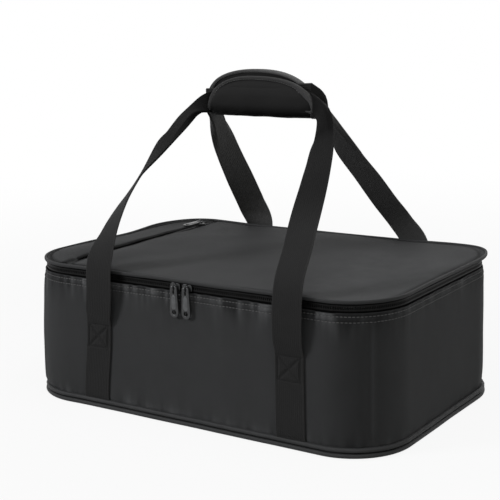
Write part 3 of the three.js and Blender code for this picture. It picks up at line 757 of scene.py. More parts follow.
def swell(s, z):
    """How far the wall stands out from its flat place at s, at height z."""
    climb = (z - wall_low) / (wall_high - wall_low)
    belly = math.sin(math.pi * min(1, max(0, climb))) ** 0.8
    front_left = 1.8 * hill(apart(s, -178), 0, 46)
    left_side = 3.6 * hill(apart(s, -330), 0, 75)
    right_side = 1.3 * hill(apart(s, 310), 0, 60)
    rear = 1.8 * hill(apart(s, round_trip / 2), 0, 120)
    front = 0.7 * hill(apart(s, 40), 0, 90)
    out = belly * (front_left + left_side + right_side + rear + front)
    out += 1.3 * hill(apart(s, 424), 0, 45) * ease(z, 8, 30) * ease(wall_high - z, 0, 12)
    out += slump(s) * (1 - 0.75 * climb) + 3.4 * hill(apart(s, -208), 0, 44) * (1 - climb) * ease(z, 8, 17)
    out -= 0.9 * math.exp(-(z - wall_low) / 2.6)
    out += 1.25 * max(pucker(s, z), -0.2 - 2 * ease(122 - z, 0, 6))
    for row in stitch_rows:
        out -= 0.4 * hill(z, row, 0.85)
    out += 0.35 * hill(z, sum(stitch_rows) / 2, 1.7)
    for seam in seams:
        gap = apart(s, seam)
        run = ease(z, 10, 24) * ease(wall_high - z, 2, 8)
        out -= 0.55 * hill(gap, 0, 1.1) * ease(z, 9, 14) + 0.5 * hill(gap, -5, 5) * run
        out += 0.95 * hill(gap, 3.2, 2.3) * run
    out += 0.8 * round_ripple(s, z, 11, 75) + 0.25 * round_ripple(s, z, 17, 24)
    return out


def wall_spot(s, z, out=0.0):
    """A point of the wall's outer face, or out millimetres in front of it."""
    return plan(s, wall_setback - swell(s, z) - out, z)


wall_heights = [wall_low, 7, 8, 9.5, 11.5, 14, 17, 21, 26, 32, 39, 46, 54, 62, 70, 78, 85, 92, 98, 103]
wall_heights += [107.5, 111, 114, 116.5, 118.5, 120.2, 121.6, 122.4, 123.2, 124, 125, 126, 127, 127.7]
wall_heights += [128.3, 128.9, 129.8, 130.7, 131.3]
wall_run = stops(0, round_trip, 1.8)
panel_sides = ("front", "right", "back", "left")


def wall_wear_and_painted_light_at(s, z):
    """Wear pales the foot and corners; painted light and shade mark the gathers and the front right corner.
    """
    crease = sum(hill(apart(s, seam), 3.2, 2) for seam in seams)
    # dull is painted shade on the front right corner; the gathers add painted light on their ridges and
    # painted shade in their hollows.
    dull = 0.28 * hill(apart(s, 180), 0, 30)
    tone = 0.1 * hill(z, 11, 4) + 0.15 * crease * ease(z, 12, 30) + pucker(s, z) - dull
    return max(-0.6, min(0.8, tone))


wall_rows = [[wall_spot(s, z) for s in wall_run] for z in wall_heights]
wall_wear_and_painted_light = [[wall_wear_and_painted_light_at(s, z) for s in wall_run] for z in wall_heights]
wall_cover = lay("wall_cover", wall_rows, thickness=cover_thickness, wear_and_painted_light=wall_wear_and_painted_light)
wall_panels = [f"{side}_wall_panel" for side in panel_sides]
dress(wall_cover, shell_cloth, "bag", wall_panels)

# %% [markdown]
# Behind the cover come foam and foil. The foil turns out over the top of the foam to the zip tape,
# and shows as a silver rim when the lid is open.

# %% Wall foam and foil
foam_section = [(2.9, 7), (2.7, 12), (2.7, 60), (2.7, 118), (2.9, 121.4), (3.7, 122), (3.7, 130.4)]
foam_section += [(4.2, 131.1), (5.6, 131.4), (7.0, 131.1), (7.7, 130.2), (7.8, 118), (7.8, 60)]
foam_section += [(7.8, 12), (7.4, 7.2), (5.5, 6.7), (2.9, 7)]
foam_rows = [[plan(s, inset, z) for inset, z in foam_section] for s in pad_round]
wall_pad = lay("wall_pad", foam_rows, closed=True)
dress(wall_pad, foam, "bag", [f"{side}_wall_foam" for side in panel_sides])

foil_heights = [9.4, 11, 14] + [14 + 5.5 * i for i in range(1, 20)] + [123, 126.5, 129.5]
foil_rows = []
for z in foil_heights:
    row, loose = [], ease(z, 9, 24) * ease(132 - z, 0, 9)
    for s in foil_round:
        fold = round_ripple(s, z, 3, 30) + 0.5 * round_ripple(s, z, 9, 12) + 0.25
        row.append(plan(s, 8.4 + loose * fold, z))
    foil_rows.append(row)
for inset, z in ((8.2, 131.1), (7.4, 131.8), (6.0, 132.0), (4.6, 131.9), (3.7, 131.6)):
    foil_rows.append([plan(s, inset, z + 0.25 * round_ripple(s, 0, 2, 9)) for s in foil_round])
wall_foil = lay("wall_foil", foil_rows, thickness=foil_thickness)
dress(wall_foil, foil, "bag", ["wall_lining"])

# %% [markdown]
# ## Things that repeat
#
# Stitches and zip teeth are small and many. One is modelled, and a row of copies is set along a
# line, each turned so that its length follows the line and its top looks out of the cloth. A stitch
# is a low sphere drawn out long, and sits half sunk in the cloth.

# %% Rows of copies, and sewing
copy_uv = 0.003  # metres of finish over the whole UV square of one copy


def row_of(name, master, spots):
    """One piece made of a copy of the master at each spot: (place, way along, way out)."""
    base = np.array([tuple(v.co) for v in master.data.vertices])
    faces = [tuple(face.vertices) for face in master.data.polygons]
    copies = []
    for place, along, out in spots:
        along = along.normalized()
        across = along.cross(out).normalized()
        turn = np.array([tuple(across), tuple(along), tuple(across.cross(along))])
        copies.append(base @ turn + np.array(tuple(place)) * mm)
    mesh = bpy.data.meshes.new(name)
    firsts = range(0, len(base) * len(spots), len(base))
    every_face = [tuple(i + first for i in face) for first in firsts for face in faces]
    mesh.from_pydata(np.concatenate(copies), [], every_face)
    layer = mesh.uv_layers.new(name="UVMap")
    shared = np.zeros(2 * len(master.data.loops), np.float32)
    master.data.uv_layers[0].data.foreach_get("uv", shared)
    layer.data.foreach_set("uv", np.tile(shared * copy_uv, len(spots)))
    piece = bpy.data.objects.new(name, mesh)
    bpy.context.scene.collection.objects.link(piece)
    pick(piece)
    bpy.ops.object.shade_smooth_by_angle(angle=smooth_angle)
    return piece


def stitch(length, width):
    pick()
    bpy.ops.mesh.primitive_uv_sphere_add(segments=6, ring_count=5, radius=0.5 * mm)
    open_mesh()
    bpy.ops.transform.rotate(value=math.pi / 2, orient_axis="X", center_override=(0, 0, 0))
    bpy.ops.transform.resize(value=(width, length, width * 0.8))
    return close_mesh()


def point_at(at, run, points):
    return Vector([np.interp(at, run, points[:, axis]) for axis in range(3)])


def along_line(line, pitch, loop=False):
    """Evenly spaced (place, way along, way out) on a line of (place, way out)."""
    line = list(line) + ([line[0]] if loop else [])
    places = np.array([tuple(place) for place, _ in line])
    outs = np.array([tuple(out) for _, out in line])
    run = spaced(np.linalg.norm(np.diff(places, axis=0), axis=1))
    count = max(1, round(run[-1] / pitch))
    spots = []
    for step in range(count):
        here = (step + 0.5) * run[-1] / count
        behind, ahead = point_at(here - 0.8, run, places), point_at(here + 0.8, run, places)
        spots.append(((behind + ahead) / 2, ahead - behind, point_at(here, run, outs)))
    return spots


def sew(name, lines, finish, body, slot, pitch=3.2, length=2.5, width=0.8, loop=False):
    """Rows of stitches along one or more lines of (place, way out)."""
    master = stitch(length, width)
    spots = [spot for line in lines for spot in along_line(line, pitch, loop)]
    piece = row_of(name, master, spots)
    bpy.data.objects.remove(master)
    return dress(piece, finish, body)


wall_lines = []
for row in stitch_rows:
    wall_lines.append([(wall_spot(s, row, 0.1), outline(s)[1]) for s in once_round[:-1]])
long_stitch = {"pitch": 3.6, "length": 2.9, "width": 0.9}
sew("wall_topstitch", wall_lines, thread, "bag", "coated_fabric", loop=True, **long_stitch)

# %% [markdown]
# ## Zip
#
# The zip runs round three sides. Each half is a tape with a chain of teeth on its edge. A tooth is a
# wide foot, which touches its neighbours, with a narrower head that reaches between two heads of the
# other half. It is a cube whose top is drawn out twice and narrowed each time.

# %% Zip tapes and teeth
zip_run = stops(-zip_reach, zip_reach, 3)
tape_inset, tape_thickness, upper_tape_foot = 2.65, 0.6, 138.3
lower_rows = []
for z in (122.4, 125, 128, 130.5, 131.6, 132.6, 133.5):
    lower_rows.append([plan(s, tape_inset, z + 0.15 * round_ripple(s, z, 1, 12)) for s in zip_run])
lower_tape = lay("lower_zip_tape_cloth", lower_rows, thickness=tape_thickness)
dress(lower_tape, zip_cloth_darkened_for_shade, "bag", ["lower_zip_tape"])


def rim_shift(x, y):
    """How far the lid's edge has left its flat place: outwards, and up."""
    corner = math.exp(-((x - 192) ** 2 + (y - 120) ** 2) / (2 * 20**2))
    rear = -1.4 * ease(y, 60, 125) * ease(150 - abs(x), 0, 60)
    left = -4.0 * hill(y, 40, 65) * ease(-x, 140, 195)
    return 5.2 * corner, 1.0 * corner + rear + left + 0.5 * ripple(x, y, 4, 60)


upper_rows = []
for share in (0, 0.3, 0.65, 1):
    row = []
    for s in zip_run:
        flat = plan(s, tape_inset, 0)
        poke, lift = rim_shift(flat.x, flat.y)
        height = upper_tape_foot + (2.6 + lift) * share
        row.append(plan(s, tape_inset - 0.7 * poke * share, height))
    upper_rows.append(row)
upper_tape = lay("upper_zip_tape_cloth", upper_rows, thickness=tape_thickness)
dress(upper_tape, zip_cloth_darkened_for_shade, "lid", ["upper_zip_tape"])


def tooth(foot_width, head_width, depth, foot_height, height):
    """One tooth: its width along Y, its depth along X, and its head up Z."""
    pick()
    bpy.ops.mesh.primitive_cube_add(size=1 * mm)
    open_mesh()
    bpy.ops.transform.resize(value=(depth, foot_width, foot_height))
    bpy.ops.transform.translate(value=(0, 0, foot_height / 2 * mm))
    bpy.ops.mesh.select_all(action="DESELECT")
    for face in close_mesh().data.polygons:
        face.select = face.normal.z > 0.5
    bpy.ops.object.mode_set(mode="EDIT")
    bpy.ops.mesh.select_mode(type="FACE")
    neck, head = 0.15 * height, 0.85 * height - foot_height
    for rise, narrowed in ((neck, (0.9, head_width / foot_width, 1)), (head, (0.8, 0.8, 1))):
        bpy.ops.mesh.extrude_region_move(TRANSFORM_OT_translate={"value": (0, 0, rise * mm)})
        bpy.ops.transform.resize(value=narrowed)
    return close_mesh()


def chain(name, line, pitch, sizes, body, nodes):
    """A row of teeth along a line of (place, way the heads point)."""
    master = tooth(*sizes)
    piece = row_of(name, master, along_line(line, pitch))
    bpy.data.objects.remove(master)
    return dress(piece, nylon_darkened_for_shade, body, nodes)


up_way, down_way = Vector((0, 0, 1)), Vector((0, 0, -1))
chain_pitch, chain_inset, lower_chain, upper_chain = 2.2, 2.95, 133.3, 138.5
tooth_sizes = (2.15, 1.0, 2.0, 1.1, 2.7)
lower_line = [(plan(s, chain_inset, lower_chain), up_way) for s in zip_run]
chain("lower_zip_teeth", lower_line, chain_pitch, tooth_sizes, "bag", ["lower_zip_coil"])
half_step = [min(zip_reach, s + chain_pitch / 2) for s in zip_run]
upper_line = [(plan(s, chain_inset, upper_chain), down_way) for s in half_step]
chain("upper_zip_teeth", upper_line, chain_pitch, tooth_sizes, "lid", ["upper_zip_coil"])

# %% [markdown]
# At the back there is no zip. A strip of the shell cloth is lapped over the wall and runs up to the
# lid's bound edge, where the lid turns.

# %% Lid hinge cloth
hinge_run = stops(zip_reach, round_trip - zip_reach, 3)
hinge_profile = [(127.9, 0.25), (128.6, 0.35), (130, 0.3), (131.6, 0.2), (133, 0.5), (134.6, 0.9)]
hinge_profile += [(136.2, 0.9), (137.6, 0.5)]
wall_rim, hinge_top = 131, 139.7
hinge_rows = []
for z, proud in hinge_profile:
    above = Vector((0, 0, max(0, z - wall_rim)))
    hinge_rows.append([wall_spot(s, min(z, wall_rim), proud) + above for s in hinge_run])
top_row = []
for s in hinge_run:
    flat = plan(s, 1.6, 0)
    top_row.append(plan(s, 1.7, hinge_top + rim_shift(flat.x, flat.y)[1]))
hinge_cloth = lay("lid_hinge_cloth", hinge_rows + [top_row], thickness=0.7)
dress(hinge_cloth, shell_cloth, None, ["lid_hinge_strip"])
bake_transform(hinge_cloth)

# %% [markdown]
# ## Lid
#
# The lid is cloth over a foam sheet, so its top is never flat: it crowns a little, stands in a hump
# where the pocket bulges it at the front left, drops at the back between the corners, and its left
# edge sags. `lid_spot` sums these up for any point. Each panel is a grid whose columns shorten with
# the round corners, so that its edge follows the outline exactly.

# %% Lid form
pocket_line, slit_half, slit_reach = -146.0, 4.2, 112.0


def slit_gap(y):
    """Half the width of the pocket's slit; past the zip's ends the two panels meet."""
    return slit_half - (slit_half - 0.25) * ease(abs(y), slit_reach - 6, slit_reach + 1)


def lid_height(x, y):
    """The height of the lid's outer face."""
    inside = edge_distance(x, y)
    lift = rim_shift(x, y)[1] * math.exp(-max(inside, 0) / 45)
    margin = max(inside - 1.5, 0)
    rise = 1 - 0.7 * math.exp(-margin / 4) - 0.3 * math.exp(-margin / 20)
    crown = 1.0 + 1.3 * (1 - (x / 205) ** 2) * (1 - (y / 132) ** 2)
    hump = 4.6 * hill(x, -160, 58) * hill(y, -76, 54) * (1 - 0.85 * hill(x, pocket_line, 12))
    dip = -1.4 * math.exp(-(((x - 15) / 95) ** 2) - ((y - 15) / 60) ** 2)
    dents = 1.9 * ripple(x, y, 21, 95) + 1.0 * ripple(x, y, 5, 38)
    leftmost = ease(-x, 150, 190)
    furrow = -(0.8 + 0.5 * leftmost) * hill(inside, 5.0 + 2 * leftmost, 1.1 + 1.2 * leftmost)
    return 141.4 + lift + rise * (crown + hump + dip + dents) + furrow


def past_corner(value, half):
    """How far a point lies past the corner centres."""
    return max(abs(value) - half, 0)


def lid_spot(x, y, over=0.0):
    """A point on top of the lid, or over it."""
    poke = rim_shift(x, y)[0] * math.exp(-max(edge_distance(x, y), 0) / 22)
    over_x, over_y = past_corner(x, front_half), past_corner(y, side_half)
    way = Vector((math.copysign(over_x, x), math.copysign(over_y, y), 0))
    spot = Vector((x, y, lid_height(x, y) + over))
    return spot + way.normalized() * poke if way.length > 0 else spot


lid_inset = 1.7
lid_reach = corner_radius - lid_inset


def half_depth(x):
    """Half the depth of the lid's cover at x, which shortens with the round corners."""
    return side_half + math.sqrt(max(lid_reach * lid_reach - past_corner(x, front_half) ** 2, 0))


def lid_stations(start, end):
    """Columns across the lid, closer together round the corners."""
    curved = [front_half + lid_reach * math.sin(t * math.pi / 28) for t in range(15)]
    every = [-x for x in curved] + stops(-front_half, front_half, 4) + curved
    return sorted({round(x, 4) for x in every if start < x < end} | {start, end})


def lid_painted_light(x, y, slit_edge, slit_side):
    """Painted light, paler towards the right; painted shade towards the back, over the strip, in the seam
    furrows and along the slit.
    """
    shade = 0.12 * ease(x, 40, 120) - 0.15 * ease(y, 40, 110) - 0.18 * (slit_side < 0)
    furrow = 0.9 * hill(edge_distance(x, y), 5 + 2 * ease(-x, 150, 190), 1.7)
    return shade - (furrow + hill(abs(x - slit_edge), 0, 1.4))


def lid_panel(name, start, end, slit_side):
    slit_edge = pocket_line + slit_side * slit_half
    proud = 0.2 if slit_side > 0 else 0.9
    rows, wear_and_painted_light = [], []
    for share in [t * (1.25 - 0.25 * t * t) for t in np.linspace(-1, 1, 75)]:
        row = []
        for x in lid_stations(start, end):
            y, near = share * half_depth(x), abs(x - slit_edge)
            shifted = x - slit_side * (slit_half - slit_gap(y)) * math.exp(-near / 6)
            lip = proud * hill(near, 4, 2.4) - 1.1 * math.exp(-near / 1.2) - 0.3 * hill(near, 2.2, 0.7)
            row.append(lid_spot(shifted, y, lip))
        rows.append(row)
        wear_and_painted_light.append([lid_painted_light(p.x, p.y, slit_edge, slit_side) for p in row])
    return lay(name, rows, thickness=cover_thickness, wear_and_painted_light=wear_and_painted_light)


right_edge = bag_width / 2 - lid_inset
main_cover = lid_panel("lid_main_cover", pocket_line + slit_half, right_edge, 1)
dress(main_cover, lit_lid_cloth, "lid", ["lid_main_panel"])
strip_cover = lid_panel("lid_pocket_strip_cover", -right_edge, pocket_line - slit_half, -1)
dress(strip_cover, lit_lid_cloth, "lid", ["lid_pocket_strip"])

# %% [markdown]
# The lid's edge is bound: a tape of shell cloth is folded over the raw edges of cover, foam and zip,
# and one stitch row holds it. Its rounded top is a little paler, rubbed and with a painted highlight.

# %% Lid binding and its stitches
def rim_spot(s, inset, z):
    flat = plan(s, inset, z)
    poke, lift = rim_shift(flat.x, flat.y)
    return flat + outline(s)[1] * poke + up_way * lift


binding_ring = oval(1.35, 1.75, 14, 0.8)
binding_ring.append(binding_ring[0])
binding_inset, binding_height = 1.3, 141.5
binding_rows = []
for s in once_round:
    binding_rows.append([rim_spot(s, binding_inset - a, binding_height + b) for a, b in binding_ring])
# Paler towards the top: rubbed, and a painted highlight.
rim_wear_and_painted_light = [[0.08 * ease(b, 0.2, 1.6) for _, b in binding_ring]] * len(once_round)
lid_binding = lay("lid_edge_binding", binding_rows, closed=True, wear_and_painted_light=rim_wear_and_painted_light)
dress(lid_binding, bound_cloth, "lid", ["lid_binding"])


def lid_line(inset, over):
    spots = [plan(s, inset, 0) for s in once_round[:-1]]
    return [(lid_spot(p.x, p.y, over), up_way) for p in spots]


sew("lid_edge_topstitch", [lid_line(5.0, 0.15)], dark_thread, "lid", "coated_fabric", loop=True)

# %% [markdown]
# Under the covers lie the lid's foam, the pocket's lining and the foil. The foil is a shallow tray
# that also wraps the foam's side, because the open lid shows it from below.

# %% Lid foam, foil and pocket lining
channel_floor, thinnest_foam, foam_below_cover = 137.7, 134.9, 2.9


def lid_foam_top(spot):
    """The foam follows the lid, with a channel for the pocket's slider."""
    side = 0.35 * max(abs(spot.x - pocket_line) - 7, 0)
    end = ease(abs(spot.y), slit_reach + 4, slit_reach + 12) * 8
    under_cover = lid_height(spot.x, spot.y) - foam_below_cover
    return max(thinnest_foam, min(under_cover, channel_floor + side + end))


lid_round = stops(0, round_trip, 6)
lid_pad_rows = []
lid_profile = [(middle_inset, 134), (60, 134), (11, 134), (8.6, 134.4), (7.9, 136), (8.1, 138)]
for inset, z in lid_profile:
    lid_pad_rows.append([plan(s, inset, z) for s in lid_round])
for inset in (9.5, 13, 20, 30, 42, 52, 60, 68, 78, 92, 110, middle_inset):
    row = [plan(s, inset, 0) for s in lid_round]
    for spot in row:
        spot.z = lid_foam_top(spot)
    lid_pad_rows.append(row)
lid_pad = lay("lid_pad", lid_pad_rows, closed=True)
dress(lid_pad, foam, "lid", ["lid_foam"])

foil_tray = [(7.3, 139.4), (7.2, 137), (7.4, 134.6), (8.0, 133.7)]
lid_foil = foil_sheet("lid_foil", foil_tray + [(i + 0.3, 133.4) for i in inset_steps], False)
dress(lid_foil, foil, "lid", ["lid_lining"])

lining_half = bag_depth / 2 - 13.2
lining_columns = stops(-135.2, 94, 6)
lining_rows = []
for share in np.linspace(-1, 1, 41):
    lining_rows.append([lid_spot(x, share * lining_half, -2.0) for x in lining_columns])
pocket_lining = lay("pocket_lining", lining_rows, thickness=0.4)
dress(pocket_lining, zip_cloth_darkened_for_shade, "lid", ["lid_pocket_liner"])

# %% [markdown]
# The pocket's zip lies in the slit between the two panels, on its own pair of tapes. It stays straight
# where the lid stands in its hump, so that the slider can run. Its teeth are finer than the main zip's.

# %% Pocket zip
slit_floor, fine_pitch, fine_tooth = 140.7, 1.6, (1.55, 0.75, 1.1, 0.8, 1.9)
fine_tape = (0.5, 1.4, 2.6, 4.2, 6.5, 9.4)
pocket_run = stops(-slit_reach, slit_reach, 3)
slit_lines = []
for side, word in ((-1, "left"), (1, "right")):
    rows = []
    for y in pocket_run:
        row = [Vector((pocket_line + side * r, y, slit_floor - 0.02 * r)) for r in fine_tape]
        rows.append(row[::side])
    tape = lay(f"pocket_zip_tape_cloth_{word}", rows, thickness=0.5)
    dress(tape, zip_cloth_darkened_for_shade, "lid", [f"pocket_zip_tape_{word}"])
    shift = fine_pitch / 2 * (side > 0)
    line = []
    for y in pocket_run:
        place = Vector((pocket_line + side * 1.7, y + shift, slit_floor + 0.55))
        line.append((place, Vector((-side, 0, 0))))
    chain(f"pocket_zip_teeth_{word}", line, fine_pitch, fine_tooth, "lid", [f"pocket_zip_coil_{word}"])
    seam = []
    for y in stops(-slit_reach - 6, slit_reach + 6, 3):
        seam.append((lid_spot(pocket_line + side * (slit_gap(y) + 2.2), y, 0.1 + 0.35), up_way))
    slit_lines.append(seam)
sew("pocket_topstitch", slit_lines, dark_thread, "lid", "coated_fabric", length=2.3, width=0.6)

# %% [markdown]
# ## Sliders and pulls
#
# The two sliders and the pocket's are stamped and cast metal. Flat plates with holes are cut as
# closed curves, which Blender fills and gives a rounded edge, and are then made a mesh. The bail,
# which holds the pull, is a wire bent along a smooth path. Each set is made lying flat and is then
# set on its zip.

# %% Metal shapes
def smooth_path(points, share):
    """The point at a share of a smooth path through points, with even pull from each side."""
    spot = (len(points) - 1) * min(max(share, 0.0), 1.0)
    i = min(int(spot), len(points) - 2)
    b, c = points[i], points[i + 1]
    a = points[i - 1] if i > 0 else 2 * b - c
    d = points[i + 2] if i + 2 < len(points) else 2 * c - b
    g0, g1, g2 = (max((q - p).length ** 0.5, 1e-3) for p, q in ((a, b), (b, c), (c, d)))
    leave = ((b - a) / g0 - (c - a) / (g0 + g1) + (c - b) / g1) * g1
    arrive = ((c - b) / g1 - (d - b) / (g1 + g2) + (d - c) / g2) * g1
    w = spot - i
    return b + leave * w + (3 * (c - b) - 2 * leave - arrive) * w**2 + (2 * (b - c) + leave + arrive) * w**3


def arc(centre, radius, start, end, count=12):
    turns = [math.radians(start + (end - start) * i / count) for i in range(count + 1)]
    return [(centre[0] + radius * math.cos(t), centre[1] + radius * math.sin(t)) for t in turns]


def cut_plate(edge, holes, thickness, low, round_over=0.25):
    """A plate with rounded edges, standing from low to low + thickness on Z."""
    curve = bpy.data.curves.new("plate", "CURVE")
    curve.dimensions, curve.fill_mode = "2D", "BOTH"
    curve.extrude = (thickness / 2 - round_over) * mm
    curve.bevel_depth, curve.bevel_resolution, curve.offset = round_over * mm, 2, -round_over * mm
    for ring in [edge] + holes:
        line = curve.splines.new("POLY")
        line.points.add(len(ring) - 1)
        for point, (x, y) in zip(line.points, ring):
            point.co = (x * mm, y * mm, 0, 1)
        line.use_cyclic_u = True
    plate = bpy.data.objects.new("plate", curve)
    bpy.context.scene.collection.objects.link(plate)
    pick(plate)
    bpy.ops.object.convert(target="MESH")
    open_mesh()
    bpy.ops.mesh.remove_doubles(threshold=1e-6)
    bpy.ops.mesh.normals_make_consistent(inside=False)
    bpy.ops.transform.translate(value=(0, 0, (low + thickness / 2) * mm))
    return close_mesh()


def bar(low, high, round_over=0.15):
    """A small bar between two corners with rounded edges."""
    pick()
    bpy.ops.mesh.primitive_cube_add(size=1)
    open_mesh()
    bpy.ops.transform.resize(value=[(b - a) * mm for a, b in zip(low, high)])
    bpy.ops.transform.translate(value=[(a + b) / 2 * mm for a, b in zip(low, high)])
    bpy.ops.mesh.bevel(offset=round_over * mm, segments=2, affect="EDGES")
    return close_mesh()


def enamelled(name, parts, bare, way, body, node):
    """Joins parts, sets them in place and gives them enamel, each rubbed as bare as it says."""
    for part, amount in zip(parts, bare):
        store_wear_and_painted_light(part.data, [amount] * len(part.data.vertices))
    pick(*parts)
    bpy.ops.object.join()
    piece = bpy.context.object
    piece.name = piece.data.name = name
    piece.data.transform(way)
    bpy.ops.object.shade_smooth_by_angle(angle=metal_angle)
    return dress(piece, enamel, body, [node])


def rounded_plate(width, length, radius):
    x, y = width / 2 - radius, length / 2 - radius
    ring = []
    for turn, (cx, cy) in enumerate(((x, -y), (x, y), (-x, y), (-x, -y))):
        ring += arc((cx, cy), radius, -90 + 90 * turn, 90 * turn, 5)
    return ring


bail_foot = 3.0


def bail_wire(face):
    bends = ((-bail_foot, -0.6), (-bail_foot, 2.3), (0, 4.6), (bail_foot, 2.3), (bail_foot, -0.6))
    path = [Vector((0, y, face + z)) for y, z in bends]
    spine, right_way = [], Vector((1, 0, 0))
    for share in [i / 24 for i in range(25)]:
        way = (smooth_path(path, share + 0.01) - smooth_path(path, share - 0.01)).normalized()
        spine.append((smooth_path(path, share), right_way, way.cross(right_way)))
    return tube("bail", spine, oval(0.75, 0.5, 10))


plate_thickness = 1.2


def slider(name, width, length, front, rear, along_x, way, body, node):
    """Two plates joined by a blade, guide lips on their edges, and the bail over the front."""
    outline_ring = rounded_plate(width, length, 2.2)
    boss_ring = rounded_plate(width * 0.55, length * 0.55, 1.2)
    parts = [
        cut_plate(outline_ring, [], plate_thickness, front),
        cut_plate(outline_ring, [], plate_thickness, -rear - plate_thickness),
        cut_plate(boss_ring, [], 0.5, front + 1.0, 0.2),
    ]
    x, y = (width / 3, 0.3) if along_x else (0.3, length / 3)
    parts.append(bar((-x, -y, -rear - 0.4), (x, y, front + 0.4), 0.1))
    run, span = (width, length) if along_x else (length, width)
    for side in (-1, 1):
        edge = sorted((side * (span / 2 - 0.1), side * (span / 2 - 0.8)))
        low, high = (-run * 0.3, edge[0]), (run * 0.3, edge[1])
        if not along_x:
            low, high = low[::-1], high[::-1]
        parts.append(bar((*low, front - 0.55), (*high, front + 0.5)))
        foot = side * bail_foot
        parts.append(bar((-0.95, foot - 0.8, front + 0.9), (0.95, foot + 0.8, front + 1.7), 0.3))
    parts.append(bail_wire(front + plate_thickness))
    return enamelled(name, parts, [0.15] * len(parts), way, body, node)


pull_thickness = 1.9


def pull(name, lift, way, body, node, bare=0.2):
    """A tapered tongue, its slot for the bail, a round hole at its tip and a raised panel between."""
    tip = (0, -24)
    edge = [(-3.75, -0.9), *arc(tip, 5, 180, 360, 16), (3.75, -0.9)]
    edge += arc((2.2, -0.5), 1.5, 10, 90, 4) + arc((-2.2, -0.5), 1.5, 90, 170, 4)
    slot = [(1.0, -1.0), (1.0, -6.2), (0.6, -6.6), (-0.6, -6.6), (-1.0, -6.2), (-1.0, -1.0)]
    hole = arc(tip, 2.3, 360, 0, 16)[:-1]
    tongue = cut_plate(edge, [slot, hole], pull_thickness, lift - pull_thickness / 2, 0.4)
    ring = [(-2.3, -10), *arc((0, -18.6), 2.6, 180, 360, 8), (2.3, -10)]
    ring += arc((0, -10), 2.3, 0, 180, 8)[1:-1]
    panel = cut_plate(ring, [], 0.5, lift + 0.65, 0.22)
    return enamelled(name, [tongue, panel], [bare, 2.5 * bare], way, body, node)


upright = Matrix(((1, 0, 0, 0), (0, 0, -1, 0), (0, 1, 0, 0), (0, 0, 0, 1)))
for word, x in (("left", -8.8), ("right", 4.8)):
    way = Matrix.Translation(Vector((x, -129.6, 135.9)) * mm) @ upright
    slider(f"slider_{word}", 11, 7, 1.4, 1.4, True, way, f"{word}_slider", f"zip_slider_{word}")
    pull(f"pull_{word}", 4.8, way, f"{word}_pull", f"zip_pull_{word}")
way = Matrix.Translation(Vector((pocket_line, 97, 140.9)) * mm)
slider("pocket_slider_metal", 7, 11, 1.89, 1.0, False, way, "pocket_slider", "pocket_slider")
pull("pocket_pull_metal", 5.29, way, "pocket_pull", "pocket_pull", 0.05)

# %% [markdown]
# ## Handles
#
# Each handle is one length of webbing. It is sewn flat to the wall from the bottom seam up, stands
# free above the last stitches, and is folded in by its edges where the grip holds it. The section
# is drawn flat and its two edges turn over as `fold` grows, which keeps the webbing's real width.

# %% Webbing section and sewn ends
strap_top, strap_thickness, folded_thickness = 88.0, 1.8, 1.2
feet = {"front_left": (-112, 8), "front_right": (115, 0), "back_left": (-112, 0), "back_right": (112, 0)}


def folded_section(fold, thickness):
    """The webbing's section, flat at fold 0 and with both edges folded over at fold 1."""
    hinge, bend_run, step = 8.5, 2.6, 0.5
    half, here, heading = [], Vector((hinge, 0)), 0.0
    for i in range(14):
        half.append((here.copy(), heading))
        heading = math.pi * fold * ease(i * step + step / 2, 0, bend_run)
        here += Vector((math.cos(heading), math.sin(heading))) * step
    middle = [(Vector((x, 0)), 0.0) for x in stops(-7.25, 7.25, 1.2)]
    left = [(Vector((-p.x, p.y)), -turn) for p, turn in reversed(half)]
    line = left + middle + half
    drop = Vector((0, 0.83 * fold))
    top, under = [], []
    for i, (p, turn) in enumerate(line):
        out = Vector((-math.sin(turn), math.cos(turn)))
        thin = 0.55 if i in (0, len(line) - 1) else 1.0
        top.append(p - drop + out * thickness / 2 * thin)
        under.append(p - drop - out * thickness / 2 * thin)
    return [tuple(p) for p in top + under[::-1]]


def wall_at(front, x, z, out):
    return wall_spot(x if front else round_trip / 2 - x, z, out)


def sewn_x(leg, z):
    """Where the middle of the sewn webbing is at height z; one foot leans to the side."""
    start, lean = feet[leg]
    return start + lean * ease((z - wall_low) / (strap_top - wall_low) * 0.5 + 0.25, 0.25, 0.75)


def strap_wear_and_painted_light(rows, columns, inner=0.0):
    """Both edges of the webbing are rubbed pale; inner is painted light that makes its whole inner face
    paler.
    """
    half = columns // 2
    row = [0.35 * (i % half < 2 or i % half > half - 3) + inner * (i >= half) for i in range(columns)]
    return [row] * rows


box_half, box_middle, box_rise = 11.8, 75.5, 11.5


def sewn_relief(x, z):
    """The sewn box and cross press the webbing down, and it swells between their lines."""
    u, v = abs(x) / box_half, abs(z - box_middle) / box_rise
    gap = min(abs(u - 1) * box_half, abs(v - 1) * box_rise, abs(u - v) * 8.2)
    return (0.5 - 1.15 * hill(gap, 0, 1.25)) * ease(1.25 - max(u, v), 0, 0.2)


def on_strap(leg, x, z, out):
    """A point of the sewn webbing, x to the side of its middle and out in front of the wall."""
    return wall_at(leg.startswith("front"), sewn_x(leg, z) + x, z, out)


def box_lines(leg):
    """The stitch lines of a sewn end: a box, its two diagonals and a bar at the foot."""
    low, high, half, bar_height = box_middle - box_rise, box_middle + box_rise, box_half, 12.0
    corners = [(-half, low), (half, low), (half, high), (-half, high), (-half, low)]
    runs = list(zip(corners, corners[1:]))
    runs += [((-half, low), (half, high)), ((half, low), (-half, high))]
    runs += [((-half, bar_height), (half, bar_height))]
    way = Vector((0, -1 if leg.startswith("front") else 1, 0))
    lines = []
    for (x0, z0), (x1, z1) in runs:
        spots = [(x0 + (x1 - x0) * t / 12, z0 + (z1 - z0) * t / 12) for t in range(13)]
        lines.append([(on_strap(leg, x, z, 2.2 + sewn_relief(x, z)), way) for x, z in spots])
    return lines


